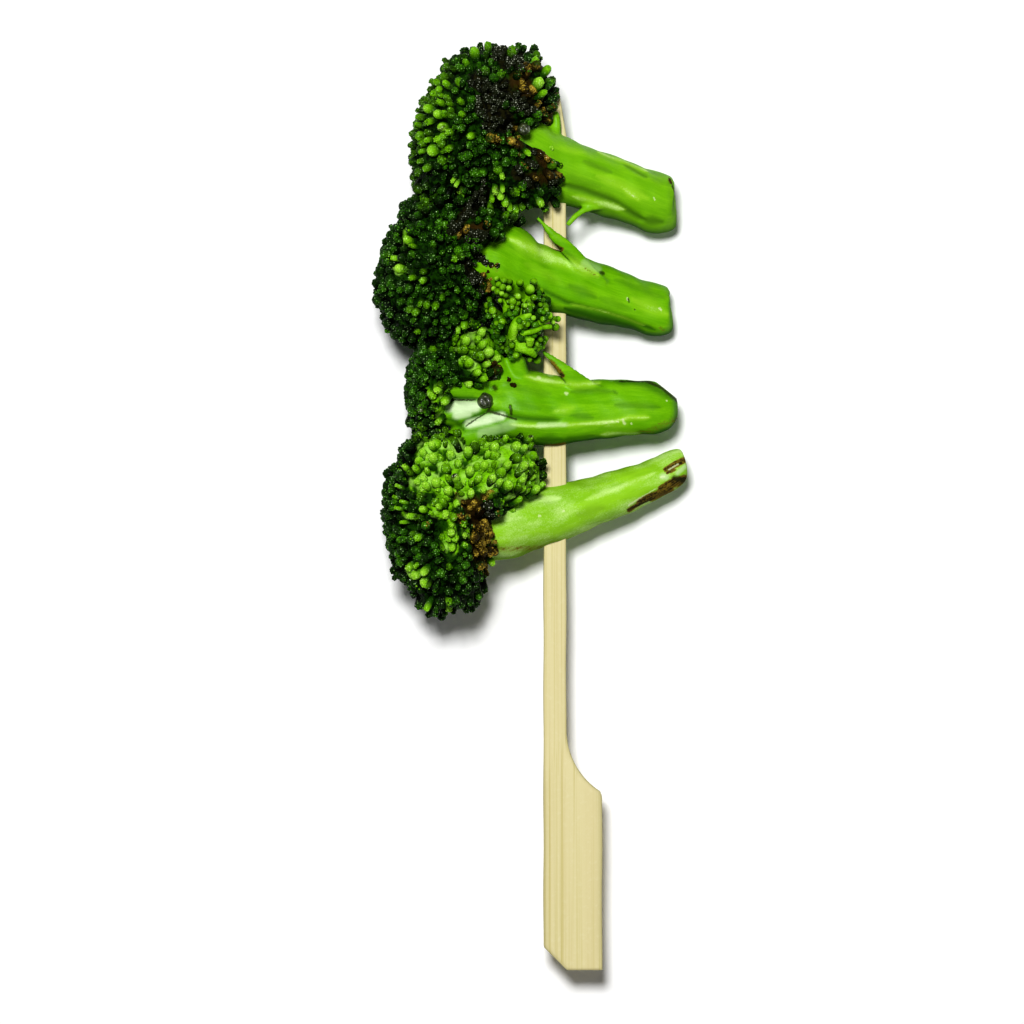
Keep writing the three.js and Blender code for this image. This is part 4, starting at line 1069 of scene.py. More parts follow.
# Cut branch ends: the node, then the middle, radius and height of each dome.
CUT_BRANCHES = (
    ("stalk_3", -13.9, 114.0, 17.2, 1.7, 2.6),
    ("head_1", -6.2, 167.9, 24.6, 1.3, 2.0),
)
CUT_BRANCH_GRID = (14, 24)
CUT_BRANCH_DARK = (0.012, 0.020, 0.004)
CUT_BRANCH_ASH = (0.085, 0.105, 0.035)


def joined_skin(points, quads, triangles, voxel):
    """Overlapping closed tubes fused into one skin: remeshed in small cells and smoothed."""
    mesh = new_mesh("tubes", points, quads, triangles)
    block = bpy.data.objects.new("tubes", mesh)
    bpy.context.scene.collection.objects.link(block)
    remesh = block.modifiers.new("Join", "REMESH")
    remesh.mode = "VOXEL"
    remesh.voxel_size = voxel * MM
    remesh.use_smooth_shade = True
    smooth = block.modifiers.new("Soften", "SMOOTH")
    smooth.factor = 0.5
    smooth.iterations = 4
    shaped = block.evaluated_get(bpy.context.evaluated_depsgraph_get())
    skin = bpy.data.meshes.new_from_object(shaped)
    bpy.data.objects.remove(block)
    return skin


def build_cut_branches():
    """The charred ends of small branches that were cut off: dark domes, dented on top and glossy."""
    f = Finish("cut_branch")
    grit = f.noise(f.here(), 1500.0, 3.0, 0.6)
    finish = f.set(
        Base_Color=f.blend(f.steps(grit, 0.40, 0.66), CUT_BRANCH_DARK, CUT_BRANCH_ASH), Roughness=0.4 + 0.2 * grit,
        Normal=f.bump(grit, 0.5, 0.0006), Coat_Weight=0.35, Coat_Roughness=0.2,
    )
    shape, *faces = bead_shape(*CUT_BRANCH_GRID)
    for node, x, y, z, radius, height in CUT_BRANCHES:
        dent = 1 - 0.25 * np.exp(-((1 - shape[:, 2]) / 0.12) ** 2) + 0.06 * np.sin(5 * shape[:, 0] + 3 * shape[:, 1])
        points = np.array([x, y, z]) + shape * dent[:, None] * np.array([radius, radius, height])
        mesh = new_mesh(f"{node}_cut_branch", points, *faces)
        new_piece(f"{node}_cut_branch", mesh, finish, node)


def band_shape(points, path, half_width):
    """A soft band along a line of points as seen from above: 1 on the line, falling off as a bell curve whose
    width narrows towards both ends of the line."""
    line = np.array(path, float)
    steps = np.diff(line, axis=0)
    lengths = np.linalg.norm(steps, axis=1)
    starts = np.concatenate([[0], np.cumsum(lengths)[:-1]])
    away, at = np.full(len(points), np.inf), np.zeros(len(points))
    for start, step, length, before in zip(line[:-1], steps, lengths, starts):
        offset = points[:, :2] - start
        share = np.clip(offset @ step / length**2, 0, 1)
        apart = np.linalg.norm(offset - share[:, None] * step, axis=1)
        at = np.where(apart < away, before + share * length, at)
        away = np.minimum(away, apart)
    taper = np.minimum(1, 0.35 + np.minimum(at, lengths.sum() - at) / (3 * half_width))
    return np.exp(-((away / (half_width * taper)) ** 2))


# Points round a stem and round a branch or leaf stalk.
STEM_SIDES = 48
BRANCH_SIDES = 16


def build_stalk(floret, settings, material):
    """One stalk: stem, branches and leaf stalks fused, then grooved and painted along the stem."""
    name = floret["name"]
    shapes = [tube(floret["stem"], STEM_SIDES, floret["ridge"], phase=floret["stem"][0][1])]
    shapes += [tube(shoot["rows"], BRANCH_SIDES, flat=shoot["flat"]) for shoot in floret["shoots"]]
    shapes += [tube(rows, BRANCH_SIDES) for rows in [*branch_rows(floret), *floret["branches"]]]
    skin = joined_skin(*join(shapes), settings.voxel)
    skin.name = f"stalk_{name}_skin"
    points = layout_points(skin)
    marks = STEM_MARKS[name]
    along, u, v, share = stem_coordinates(points, floret["stem"])
    round_turn = np.arctan2(v, u)
    on_stem = 1 - smooth_step(share, 1.12, 1.35)
    upper = smooth_step(v / np.hypot(u, v), -0.3, 0.2)
    normal = np.empty(len(points) * 3, np.float32)
    skin.vertices.foreach_get("normal", normal)
    normal = normal.reshape(-1, 3)
    relief = np.zeros(len(points))
    # Painted shade: sides darker than the back, less towards the key light and more away from it.
    shaded = SIDE_SHADE * smooth_step(1 - normal[:, 2], 0.12, 0.95) * smooth_step(normal[:, 2], -0.9, -0.2)
    shaded *= 1 - 0.7 * smooth_step(normal[:, 1], 0.1, 0.6) + 0.2 * smooth_step(-normal[:, 1], 0.1, 0.6)
    pale = np.full(len(points), marks["pale"])
    # A band's tint paints shade where negative and a highlight where positive; pale also holds a stem's own paler
    # skin.
    for path, half_width, depth, tint in marks["bands"]:
        shape = band_shape(points, path, half_width) * upper
        relief += shape * depth * on_stem
        shaded = np.maximum(shaded, -shape * tint)
        pale = np.maximum(pale, shape * tint)
    end = (1 - smooth_step(along, -0.2, 0.4)) * on_stem
    lumps = 0.10 * np.sin(along * 0.55 + 2 * round_turn) + 0.06 * np.sin(along * 1.3 + 5 * round_turn)
    moved = points + normal * (relief - 0.25 * end * (share < 0.8))[:, None]
    moved = moved + normal * (lumps * on_stem * smooth_step(along, 1, 4))[:, None]
    if "slant" in floret:
        facing = np.array(floret["slant"]["facing"])
        over = (moved[:, :2] - np.array(floret["slant"]["at"])) @ facing
        cut = np.maximum(over, 0)
        moved[:, :2] -= facing * cut[:, None]
        end = np.maximum(end, smooth_step(over, -0.1, 0.15) * (along < 8))
    moved[:, 2] = np.maximum(moved[:, 2], 0.0)
    skin.vertices.foreach_set("co", place(moved).astype(np.float32).ravel())
    paint(
        skin, grain=np.stack([along, u, v], 1), shaded=shaded, pale=pale, end=end,
        scorch=patch(points, marks["scorch"], 0.3, upper), bleached=patch(points, marks["bleached"], 0.5, upper),
    )
    skin.update()
    new_piece(f"stalk_{name}_skin", skin, material, f"stalk_{name}")


# Further colours of the buds: paler tips, pale fresh green with a painted highlight on the caps, painted shade in the
# gaps between the small buds and at the knobs' feet where the head is dark or fresh, roasted brown, painted shade
# at its foot and its gold, and painted glints: oily green ones and pale ones on the char.
TIP_GREEN = (0.11, 0.36, 0.003)
FRESH_PALE_AND_TIP_HIGHLIGHT = (0.47, 0.82, 0.08)
DARK_GAP_SHADE = (0.0015, 0.006, 0.0002)
FRESH_GAP_SHADE = (0.15, 0.43, 0.002)
DARK_FOOT_SHADE = (0.0006, 0.0025, 0.0001)
FRESH_FOOT_SHADE = (0.016, 0.075, 0.0005)
ROAST_DULL = (0.035, 0.022, 0.002)
ROASTED_FOOT_SHADE = (0.016, 0.010, 0.0012)
ROAST_GOLD = (0.62, 0.45, 0.06)
GLINT_GREEN = (0.46, 0.76, 0.28)
CHAR_GLINT_COLOUR = (0.58, 0.63, 0.48)


def bud_finish(settings):
    """Closed buds: dark green with a near-black foot of painted shade, some of them mid green, light and fleshy where
    the head is fresh with a painted highlight on the caps, browned in places, charred black with painted pale glints,
    grained by yet smaller buds with painted shade between them, and with painted oily glints."""
    f = Finish("buds")
    fresh, char, brown, tip, tone, flank = f.attributes("fresh", "char", "brown", "tip", "tone", "flank")
    here = f.here()
    speckle = f.noise(here, 2200.0, 2.0, 0.6)
    mottle = f.noise(here, 420.0, 2.0, 0.5)
    sockets = {"Vector": here, "Scale": 2300.0, "Randomness": 0.85}
    cells, chance = (f.node("ShaderNodeTexVoronoi", {}, sockets, output) for output in (0, 1))
    # Cells of yet smaller buds, for the bump and for the painted shade between them.
    grain_cells_and_gap_shade = 1 - f.steps(cells, 0.25, 0.62)
    # Painted glints, on some cells near the tips.
    glint = (1 - f.steps(cells, 0.14, 0.40)) * f.steps(chance + (mottle - 0.5) * 1.2, 0.50, 0.70) * tip
    glint = glint * f.steps(flank, -0.8, -0.2)
    shown = tone * 0.80 + (mottle - 0.5) * 1.3 + 0.08
    green = f.blend(f.steps(shown, 0.24, 0.72), settings.dark, settings.middle)
    green = f.blend(f.steps(shown, 0.58, 0.90) * 0.9, green, TIP_GREEN)
    ripe = (fresh * (1.0 + 0.9 * (mottle - 0.5))).clamp()
    green = f.blend(f.steps(ripe, 0.12, 0.95), green, settings.light)
    # Pale fresh green, lighter on the caps of fresh knobs: a painted highlight.
    green = f.blend(f.steps(ripe + tip * 0.4 + (mottle - 0.5) * 0.5, 0.95, 1.40) * 0.9, green, FRESH_PALE_AND_TIP_HIGHLIGHT)
    # Painted shade in the gaps between the small buds.
    green = f.blend((1 - grain_cells_and_gap_shade) * (0.3 + 0.35 * flank), green, f.blend(f.steps(ripe, 0.2, 0.95), DARK_GAP_SHADE, FRESH_GAP_SHADE))
    # Painted shade at the feet of the knobs and on the lower sides of the beads.
    green = f.blend(f.steps(tip, 0.30, 0.86), f.blend(f.steps(ripe, 0.3, 1.0), DARK_FOOT_SHADE, FRESH_FOOT_SHADE), green)
    green = f.blend(glint * 0.76, green, GLINT_GREEN)
    roast = f.steps(brown + (tone - 0.5) * 0.5 + (mottle - 0.5) * 0.8, 0.30, 0.62)
    dull = f.blend(f.steps(mottle, 0.42, 0.58), ROAST_DULL, settings.brown)
    golden = f.blend(f.steps(speckle + (mottle - 0.5) * 1.1, 0.44, 0.66), dull, ROAST_GOLD)
    # Painted shade at the foot of the roasted buds and between them.
    golden = f.blend(f.steps(tip, 0.3, 0.9) * (0.4 + 0.6 * grain_cells_and_gap_shade), ROASTED_FOOT_SHADE, golden)
    black = f.steps(char + (tone - 0.5) * 0.7 + (mottle - 0.5) * 1.3, 0.38, 0.64)
    # Painted glints on the char.
    char_glint = (1 - f.steps(cells, 0.16, 0.42)) * f.steps(chance, 0.34, 0.54) * tip
    charcoal = f.blend(char_glint * 0.85, settings.char, CHAR_GLINT_COLOUR)
    return f.set(
        Base_Color=f.blend(black, f.blend(roast, green, golden), charcoal), Roughness=0.45 + 0.15 * speckle,
        Normal=f.bump(grain_cells_and_gap_shade + 0.3 * speckle, 0.45, 0.00025), Specular_IOR_Level=0.08,
        Coat_Weight=0.02 + 0.60 * glint, Coat_Roughness=0.12,
    )


# Colours between the knobs: near-black green as painted shade, the foot's painted shade, flesh and pale flesh of
# fresh clusters, roasted brown and char.
CORE_SHADE = ((0.0015, 0.008, 0.0002), (0.012, 0.055, 0.0004))
CORE_FLESH = (0.23, 0.58, 0.006)
CORE_PALE = (0.42, 0.74, 0.13)
CORE_BROWN = (0.040, 0.020, 0.0025)
CORE_CHAR = ((0.003, 0.003, 0.0015), (0.016, 0.016, 0.003))


def core_finish():
    """The shaded flesh between the knobs: near black as painted shade, light green where the buds are fresh but
    darker low between the clusters with painted shade, brown by the char.
    """
    f = Finish("head_core")
    here = f.here()
    grit = f.noise(here, 900.0, 3.0, 0.6)
    patches = f.noise(here, 300.0, 2.0, 0.5)
    char, brown, fresh, high = f.attributes("char", "brown", "fresh", "high")
    # Flesh darker low down between the clusters: painted shade.
    flesh = f.blend(f.steps(high + (grit - 0.5) * 1.2, 0.30, 0.95), FRESH_FOOT_SHADE, CORE_FLESH)
    flesh = f.blend(f.steps(high * 0.3 + patches, 0.66, 0.86) * 0.8, flesh, CORE_PALE)
    # Near black between the knobs: painted shade.
    green = f.blend(f.steps(grit, 0.4, 0.65), *CORE_SHADE)
    colour = f.blend(f.steps(fresh + (grit - 0.5) * 0.3, 0.6, 1.0), green, flesh)
    colour = f.blend(brown.clamp() * 0.9, colour, CORE_BROWN)
    burnt = f.blend(f.steps(grit, 0.42, 0.6), *CORE_CHAR)
    return f.set(
        Base_Color=f.blend(f.steps(char + (patches - 0.5) * 1.2, 0.30, 0.70), colour, burnt),
        Roughness=0.6 + 0.1 * grit, Normal=f.bump(grit, 0.8, 0.001), Specular_IOR_Level=0.05,
    )


def bead_shape(rings, columns):
    """One bead: a unit sphere on a small grid, closed at two poles."""
    polar = np.linspace(0, math.pi, rings + 2)[1:-1]
    turn = np.arange(columns) / columns * 2 * math.pi
    ring = np.stack([
        np.sin(polar)[:, None] * np.cos(turn), np.sin(polar)[:, None] * np.sin(turn),
        np.repeat(np.cos(polar)[:, None], columns, 1),
    ], -1)
    points = np.concatenate([ring.reshape(-1, 3), [[0, 0, 1.0], [0, 0, -1.0]]])
    quads, triangles = closed_tube_faces(rings, columns)
    return points, quads[:, ::-1], triangles[:, ::-1]


def knob_shape(columns):
    """One knob, of radius 1 and from z = 0 to 1: a foot that swells a little to a rounded cap."""
    profile = np.array([(0.0, 0.80), (0.42, 0.94), (0.66, 1.0), (0.84, 0.84), (0.95, 0.52)])
    turn = np.arange(columns) / columns * 2 * math.pi
    ring = np.stack([
        profile[:, 1:] * np.cos(turn), profile[:, 1:] * np.sin(turn), np.repeat(profile[:, :1], columns, 1),
    ], -1)
    points = np.concatenate([ring.reshape(-1, 3), [[0, 0, 0.0], [0, 0, 1.0]]])
    return points, *closed_tube_faces(len(profile), columns)


def set_out(shape, foot, axis, radius, length, oval=1.0):
    """Copies of a unit shape, each scaled to a radius and a length and stood on its foot along its axis. Oval is
    the second radius as a share of the first."""
    side = sideways(axis)
    top = np.cross(axis, side) * np.reshape(oval, (-1, 1))
    flat = shape[None, :, :2] * radius[:, None, None]
    return (
        foot[:, None] + side[:, None] * flat[..., 0:1] + top[:, None] * flat[..., 1:2]
        + axis[:, None] * (shape[None, :, 2:3] * length[:, None, None])
    )


# How many slopes are tried from level to upright.
SLOPES = 181


def surface_direction(relief, centre, spots):
    """The direction from a head's centre to the point of its upper surface that lies straight above or below each
    plan point: of a fan of slopes, the one whose reach comes nearest to it."""
    rise = np.linspace(0, math.pi / 2, SLOPES)
    offset = spots - centre[:2]
    turn = np.arctan2(offset[:, 1], offset[:, 0])[:, None]
    up = np.broadcast_to(np.sin(rise), (len(spots), SLOPES))
    fan = np.stack([np.cos(rise) * np.cos(turn), np.cos(rise) * np.sin(turn), up], -1)
    reach = relief(fan) + CLUSTER_HEIGHT * 0.7
    miss = np.abs(reach * np.cos(rise) - np.hypot(offset[:, 0], offset[:, 1])[:, None])
    return fan[np.arange(len(spots)), miss.argmin(axis=1)]


# The knobs of a cluster lie within a share of the spacing between peaks, on a cap that is a little wider. A seeded
# knob gives way to one that stands out within a share of their radii. Each head draws its values from its own seed,
# and the knobs that stand out from one further on.
KNOB_SPREAD = 0.52
CAP_SPREAD = 0.66
KNOB_THICKNESS = 0.82
KNOB_CROWDING = 0.75
SEED_STEP = 1000
CHOSEN_SEED = 90000


def seeded_knobs(head, floret, relief, seed, most):
    """Up to a number of knobs round the peak of each cluster, oval, splayed away from the stem and of uneven
    heights. Fresh clusters have longer ones, charred clusters have short ones that make one mound, and those round
    the head's margin are more even and of a darker tone, partly darker green and partly painted shade. The tone is
    also darkened towards each cluster's edge by painted shade."""
    centre = np.array(head["centre"])
    peaks, spacing = cluster_peaks(head)
    count = len(peaks)
    tops = centre + peaks * (relief(peaks) + CLUSTER_HEIGHT)[:, None]
    noise = 0.3 * (draw(np.arange(count) + seed + 77) - 0.5)
    open_share = np.clip(patch(tops, FRESH) + noise, 0, 1)
    charred = np.clip(patch(tops, CHARRED), 0, 1)
    k = np.tile(np.arange(most), count)
    c = np.repeat(np.arange(count), most)
    number = c * 97 + k + seed * 31
    wanted = np.round(most * (0.78 + 0.14 * charred + 0.10 * open_share) + 1.8 * (draw(np.arange(count) + seed) - 0.5))
    share = np.sqrt((k + 0.35) / wanted[c])
    angle = spacing * KNOB_SPREAD * share * (1 + 0.25 * (draw(number) - 0.5))
    first = sideways(peaks)
    second = np.cross(peaks, first)
    turn = k * GOLDEN_ANGLE + 2 * math.pi * draw(c + seed + 5)
    away = first[c] * np.cos(turn)[:, None] + second[c] * np.sin(turn)[:, None]
    direction = unit(peaks[c] * np.cos(angle)[:, None] + away * np.sin(angle)[:, None])
    cap = np.sqrt(np.maximum(0.05, 1 - (angle / (CAP_SPREAD * spacing)) ** 2))
    loose = 1 - 0.75 * charred[c]
    margin = 1 - smooth_step(np.abs(direction[:, 2]), 0.10, 0.55)
    uneven = (draw(number + 3) - 0.5) * (1.5 + 0.3 * open_share[c]) * loose * (1 - 0.45 * margin)
    reach = relief(direction) + CLUSTER_HEIGHT * cap + uneven - 0.35
    thick = KNOB_THICKNESS * (0.60 + 0.85 * draw(number + 7) ** 1.4)
    thick = thick * (1 + 0.06 * open_share[c]) * (1 - 0.10 * charred[c])
    length = 2.5 + 0.5 * open_share[c] + 0.6 * draw(number + 11)
    spread = np.stack([draw(number + 101), draw(number + 103), draw(number + 107)], -1) - 0.5
    lean = stem_lean(floret, centre, direction) * ((0.10 + 0.16 * open_share[c]) * loose)[:, None]
    axis = unit(direction + away * (1.2 * angle * loose)[:, None] + lean + 0.6 * spread * loose[:, None])
    # The tone is drawn at random and lowered towards each cluster's edge, painted shade between the clusters; round
    # the head's margin it is lowered again, a darker green with painted shade on the head's sides.
    tone = np.clip(0.25 * draw(c + seed + 15) + 0.55 * draw(number + 19) + 0.55 * (0.75 - share), 0, 1)
    tone *= 1 - 0.5 * margin
    knobs = {
        "foot": centre + direction * reach[:, None] - axis * length[:, None], "axis": axis, "thick": thick,
        "length": length, "tip": centre + direction * reach[:, None], "tone": tone, "open": open_share[c],
        "number": number, "down": direction[:, 2] < -0.5, "bright": 0.0 * tone,
    }
    return {key: value[k < wanted[c]] for key, value in knobs.items()}


def chosen_knobs(head, floret, relief, seed):
    """The knobs that stand out, at their plan points on the head's upper surface. One whose point lies over the
    stem stands upright on the stem's back."""
    centre = np.array(head["centre"])
    spots = np.array(BRIGHT_KNOBS[floret["name"]])
    direction = surface_direction(relief, centre, spots[:, :2])
    number = np.arange(len(spots)) * 7 + CHOSEN_SEED + seed
    tip = centre + direction * (relief(direction) + CLUSTER_HEIGHT * 0.95)[:, None]
    over = np.maximum(stem_top(floret, spots[:, :2]) + 0.7 * spots[:, 2] - tip[:, 2], 0)
    tip[:, 2] += over
    tip[over > 0, :2] = spots[over > 0, :2]
    axis = direction + stem_lean(floret, centre, direction) * spots[:, 4:5] * 0.45
    axis = unit(axis + np.array([0, 0, 1.2]) * (over > 0)[:, None])
    length = 2.2 + 0.4 * spots[:, 4] + spots[:, 2]
    # Knobs facing sideways are shown less fresh and so darker: painted shade on the head's sides.
    shown = spots[:, 3] * (0.55 + 0.45 * smooth_step(direction[:, 2], 0.15, 0.60))
    return {
        "foot": tip - axis * length[:, None], "axis": axis, "thick": spots[:, 2] * 0.9, "length": length, "tip": tip,
        "tone": 0.6 + 0.4 * draw(number), "open": shown, "number": number, "down": np.zeros(len(spots), bool),
        "bright": shown,
    }


def head_knobs(head, floret, index, settings):
    """All knobs of one head. Those that stand out take the place of the seeded ones near them."""
    relief = head_relief(head, floret)
    seed = index * SEED_STEP
    knobs = seeded_knobs(head, floret, relief, seed, settings.knobs)
    chosen = chosen_knobs(head, floret, relief, seed)
    radius = np.array(BRIGHT_KNOBS[floret["name"]])[:, 2]
    apart = np.linalg.norm(knobs["tip"][:, None, :2] - chosen["tip"][None, :, :2], axis=2)
    crowd = (apart < KNOB_CROWDING * (knobs["thick"][:, None] + radius[None])).any(axis=1)
    crowd &= knobs["tip"][:, 2] > head["centre"][2]
    knobs = {key: value[~crowd] for key, value in knobs.items()}
    return merge([knobs, chosen])


def stem_top(floret, spots):
    """How high a floret's stem reaches at plan points, and 0 beside it."""
    line = smooth_line(floret["stem"], 12)
    away = np.linalg.norm(spots[:, None] - line[None, :, :2], axis=2)
    inside = line[:, 3] ** 2 - away**2
    return np.where(inside > 0, line[:, 2] + np.sqrt(np.maximum(inside, 0)), 0).max(axis=1)


def stem_lean(floret, centre, direction):
    """Level directions from a floret's neck out to the places on its head that directions from the centre give."""
    neck = np.array(floret["stem"][-2][:3])
    away = centre + direction * 12 - neck
    away[..., 2] = 0
    return unit(away)


def knob_beads(knobs, settings):
    """The closed buds on the knobs: a golden spiral over each rounded cap, half sunk, deeper on the smoother ones
    of the knobs, and fewer on fresh ones and below."""
    each = settings.beads
    count = len(knobs["tone"])
    j = np.tile(np.arange(each), count)
    n = np.repeat(np.arange(count), each)
    number = knobs["number"][n] * 13 + j
    z = 1 - 0.95 * (j + 0.4) / each
    across = np.sqrt(1 - z * z)
    turn = j * GOLDEN_ANGLE + 2 * math.pi * draw(knobs["number"][n] + 23)
    axis = knobs["axis"][n]
    side = sideways(axis)
    top = np.cross(axis, side)
    out = side * (across * np.cos(turn))[:, None] + top * (across * np.sin(turn))[:, None] + axis * z[:, None]
    thick = knobs["thick"][n]
    smooth = smooth_step(draw(knobs["number"][n] + 67), 0.3, 0.8) * (1 - patch(knobs["tip"], CHARRED)[n])
    level = 0.86 - 0.08 * knobs["open"][n] - 0.16 * smooth
    middle = knobs["tip"][n] + (out * level[:, None] - axis * 0.95) * thick[:, None]
    radius = settings.bead * (0.72 + 0.5 * draw(number + 29)) * (1 - 0.10 * knobs["open"][n]) * thick**0.4
    wanted = np.where(knobs["down"][n], 3, each) * (1 - 0.45 * knobs["open"][n])
    keep = j < wanted
    beads = {
        "middle": middle, "axis": out, "radius": radius, "open": knobs["open"][n], "bright": knobs["bright"][n],
        "tone": 0.5 * knobs["tone"][n] + 0.5 * draw(number + 31),
    }
    return {key: value[keep] for key, value in beads.items()}


# Which heads each head gives way to, as (floret, head) places in FLORETS.
PRESSED_BY = {
    (1, 0): ((0, 0), (2, 1)),
    (2, 0): ((1, 0), (3, 0), (2, 1)),
}


def clear_of(points, radius, own_floret, own_head):
    """True for points that lie outside the stems, the skewer and the heads that press on their own."""
    keep = np.ones(len(points), bool)
    for floret in FLORETS:
        for row in (floret["stem"], *(s["rows"] for s in floret["shoots"]), *floret["branches"]):
            line = smooth_line(row, 10)
            away = np.linalg.norm(points[:, None] - line[None, :, :3], axis=2) - line[None, :, 3]
            keep &= away.min(axis=1) > -0.1 * radius
    beside = np.abs(points[:, 0]) > STICK_WIDTH / 2 + radius
    keep &= beside | (np.abs(points[:, 2] - SKEWER_Z) > STICK_THICKNESS / 2 + radius)
    for floret, head in PRESSED_BY.get((own_floret, own_head), ()):
        other = FLORETS[floret]["heads"][head]
        relief = head_relief(other, FLORETS[floret])
        offset = points - np.array(other["centre"])
        distance = np.linalg.norm(offset, axis=1)
        keep &= distance > relief(unit(offset)) + CLUSTER_HEIGHT * 0.55
    return keep


def add_buds(name, node, shape, faces, points, tip, look, material):
    """One piece of many small copies: points holds each copy's vertices and look its marks and tone."""
    points[..., 2] = np.maximum(points[..., 2], 0.0)
    count, size = points.shape[:2]
    mesh = new_mesh(name, points.reshape(-1, 3), *copies(count, size, *faces))
    paint(mesh, tip=np.tile(tip, count), **{key: np.repeat(value, size) for key, value in look.items()})
    new_piece(name, mesh, material, node)


def merge(parts):
    """Several groups of knobs as one."""
    return {key: np.concatenate([part[key] for part in parts]) for key in parts[0]}


# Points round a knob, rings and points of a closed bud, and the freshness above which a knob bears no scorch.
KNOB_SIDES = 8
BEAD_GRID = (2, 6)
UNSCORCHED = 0.5


def build_buds(floret, index, settings, material):
    """All the knobs of one floret and the closed buds on them."""
    found = []
    for part, head in enumerate(floret["heads"]):
        if "fork" in head:
            build_loose(floret, head, material)
            continue
        knobs = head_knobs(head, floret, index, settings)
        keep = clear_of(knobs["tip"], knobs["thick"], index, part) | (knobs["bright"] > 0)
        found.append({key: value[keep] for key, value in knobs.items()})
    knobs = merge(found)
    beads = knob_beads(knobs, settings)
    node = f"head_{floret['name']}"

    def look(places, group, flank):
        """What the copies at these places are painted with."""
        fresh = np.maximum(patch(places, FRESH) * (0.42 + 0.9 * group["tone"]), group["bright"])
        char, brown = (
            np.where(group["bright"] > UNSCORCHED, 0, patch(places, marks)) for marks in (CHARRED, BROWNED)
        )
        return {
            "fresh": np.clip(fresh, 0, 1), "char": char, "brown": brown, "tone": group["tone"],
            "flank": np.full(len(places), flank),
        }

    shape, *faces = knob_shape(KNOB_SIDES)
    oval = 0.8 + 0.2 * draw(knobs["number"] + 37)
    points = set_out(shape, knobs["foot"], knobs["axis"], knobs["thick"], knobs["length"], oval)
    # The tip value runs from the knob's foot to its cap and paints shade at the foot.
    add_buds(f"{node}_knobs", node, shape, faces, points, 0.95 * shape[:, 2], look(knobs["tip"], knobs, 1.0), material)
    shape, *faces = bead_shape(*BEAD_GRID)
    points = set_out(shape, beads["middle"], beads["axis"], beads["radius"], beads["radius"])
    bead_look = look(beads["middle"], beads, 0.0)
    bead_look["fresh"] = bead_look["fresh"] * (0.75 + 0.35 * beads["tone"])
    # Each bead's tip value is lower on its lower side, for painted shade under it.
    add_buds(f"{node}_beads", node, shape, faces, points, 0.55 + 0.45 * shape[:, 2], bead_look, material)


# The side cluster's branches and buds that stand out: rows of x, y, z and radius, and x, y, z and radius.
SIDE_BRANCHES = (
    ((-8.2, 125.2, 19.4, 1.2), (-8.4, 127.6, 22.6, 1.0), (-7.6, 129.7, 23.6, 0.85), (-6.1, 130.5, 23.8, 0.7),
     (-4.8, 131, 23.4, 0.5)),
    ((-8, 126, 21, 0.8), (-6.2, 127.3, 23.2, 0.5), (-4.4, 127.7, 23.4, 0.5), (-2.6, 128.5, 22.6, 0.35)),
    ((-8.2, 124.4, 18, 1.0), (-6, 124.4, 20.6, 0.6), (-5.1, 125.2, 22.6, 0.7), (-5, 126.3, 23.2, 0.95)),
    ((-8.6, 124.4, 18, 1.1), (-7, 124.8, 21, 1.2), (-5, 123.8, 21.4, 0.9), (-4, 122.9, 20.4, 0.5)),
    ((-8, 123.6, 16, 0.8), (-5.6, 123.2, 17.4, 0.6), (-3.7, 122, 17.4, 0.6)),
    ((-7.6, 126, 19, 0.8), (-6.6, 131, 21, 0.6), (-5.4, 134.6, 21.6, 0.7), (-5.1, 135.8, 22, 0.8)),
    ((-9.6, 124.6, 18, 1.0), (-9.6, 131, 20, 0.8), (-10, 135, 20.6, 0.9)),
    ((-5, 128.6, 20, 0.7), (-2.4, 129.8, 20.6, 0.6), (-0.9, 130.4, 20, 0.55), (0.2, 130.3, 19.2, 0.5)),
    ((-4.6, 128, 19.6, 0.6), (-2.2, 128.7, 20, 0.55), (-0.2, 128.7, 19.4, 0.5)),
)
SIDE_BUDS = (
    (-3.6, 122.3, 17.6, 0.9), (-5.1, 122.3, 19.6, 0.6), (-5.1, 136, 23, 1.1), (-4.3, 137.6, 21.4, 0.8),
    (-2.1, 132.7, 21.8, 0.8), (-1.3, 130.9, 21.2, 0.85), (0.5, 130.3, 19.2, 0.65), (0, 128.7, 19.5, 0.85),
    (-4.4, 130.4, 24.2, 0.6), (-4.3, 134.4, 23.2, 0.7), (-10.9, 133.8, 23.2, 0.55), (-13.4, 132.9, 21.4, 0.8),
    (-8.6, 125.1, 22.4, 0.7), (-11.4, 135.6, 22.4, 0.75), (-10.4, 136.4, 23, 0.8), (-9.2, 136.2, 22.8, 0.7),
    (-11.2, 137, 21.8, 0.7), (-10.1, 137.8, 21.8, 0.75), (-9, 137.6, 21.8, 0.65), (-10.6, 135.2, 23, 0.6),
    (-9.8, 134.8, 23.2, 0.6), (-12.2, 136.2, 21.2, 0.6), (-11.6, 138.2, 20.6, 0.6), (-7, 137.4, 21.6, 0.8),
    (-7.4, 134.6, 24, 0.7), (-3, 133, 23, 0.55), (-2.6, 130.2, 22.8, 0.6), (-6, 132.8, 24, 0.6),
    (-8.6, 132.6, 24, 0.6), (-3, 126.2, 21.6, 0.6), (-0.5, 129.6, 20.2, 0.5), (-3.6, 125, 20.6, 0.6),
)

# The side cluster's place in FLORETS, the share of its peaks that bear a twig and the buds about each twig's tip,
# whose spiral starts anywhere in one turn.
SIDE_CLUSTER = (2, 1)
TWIG_SHARE = 0.74
TWIG_SIDES = 8
SIDE_BRANCH_SIDES = 14
SIDE_BUDS_EACH = 9
SIDE_BUD_GRID = (4, 10)
ONE_TURN = 6.28


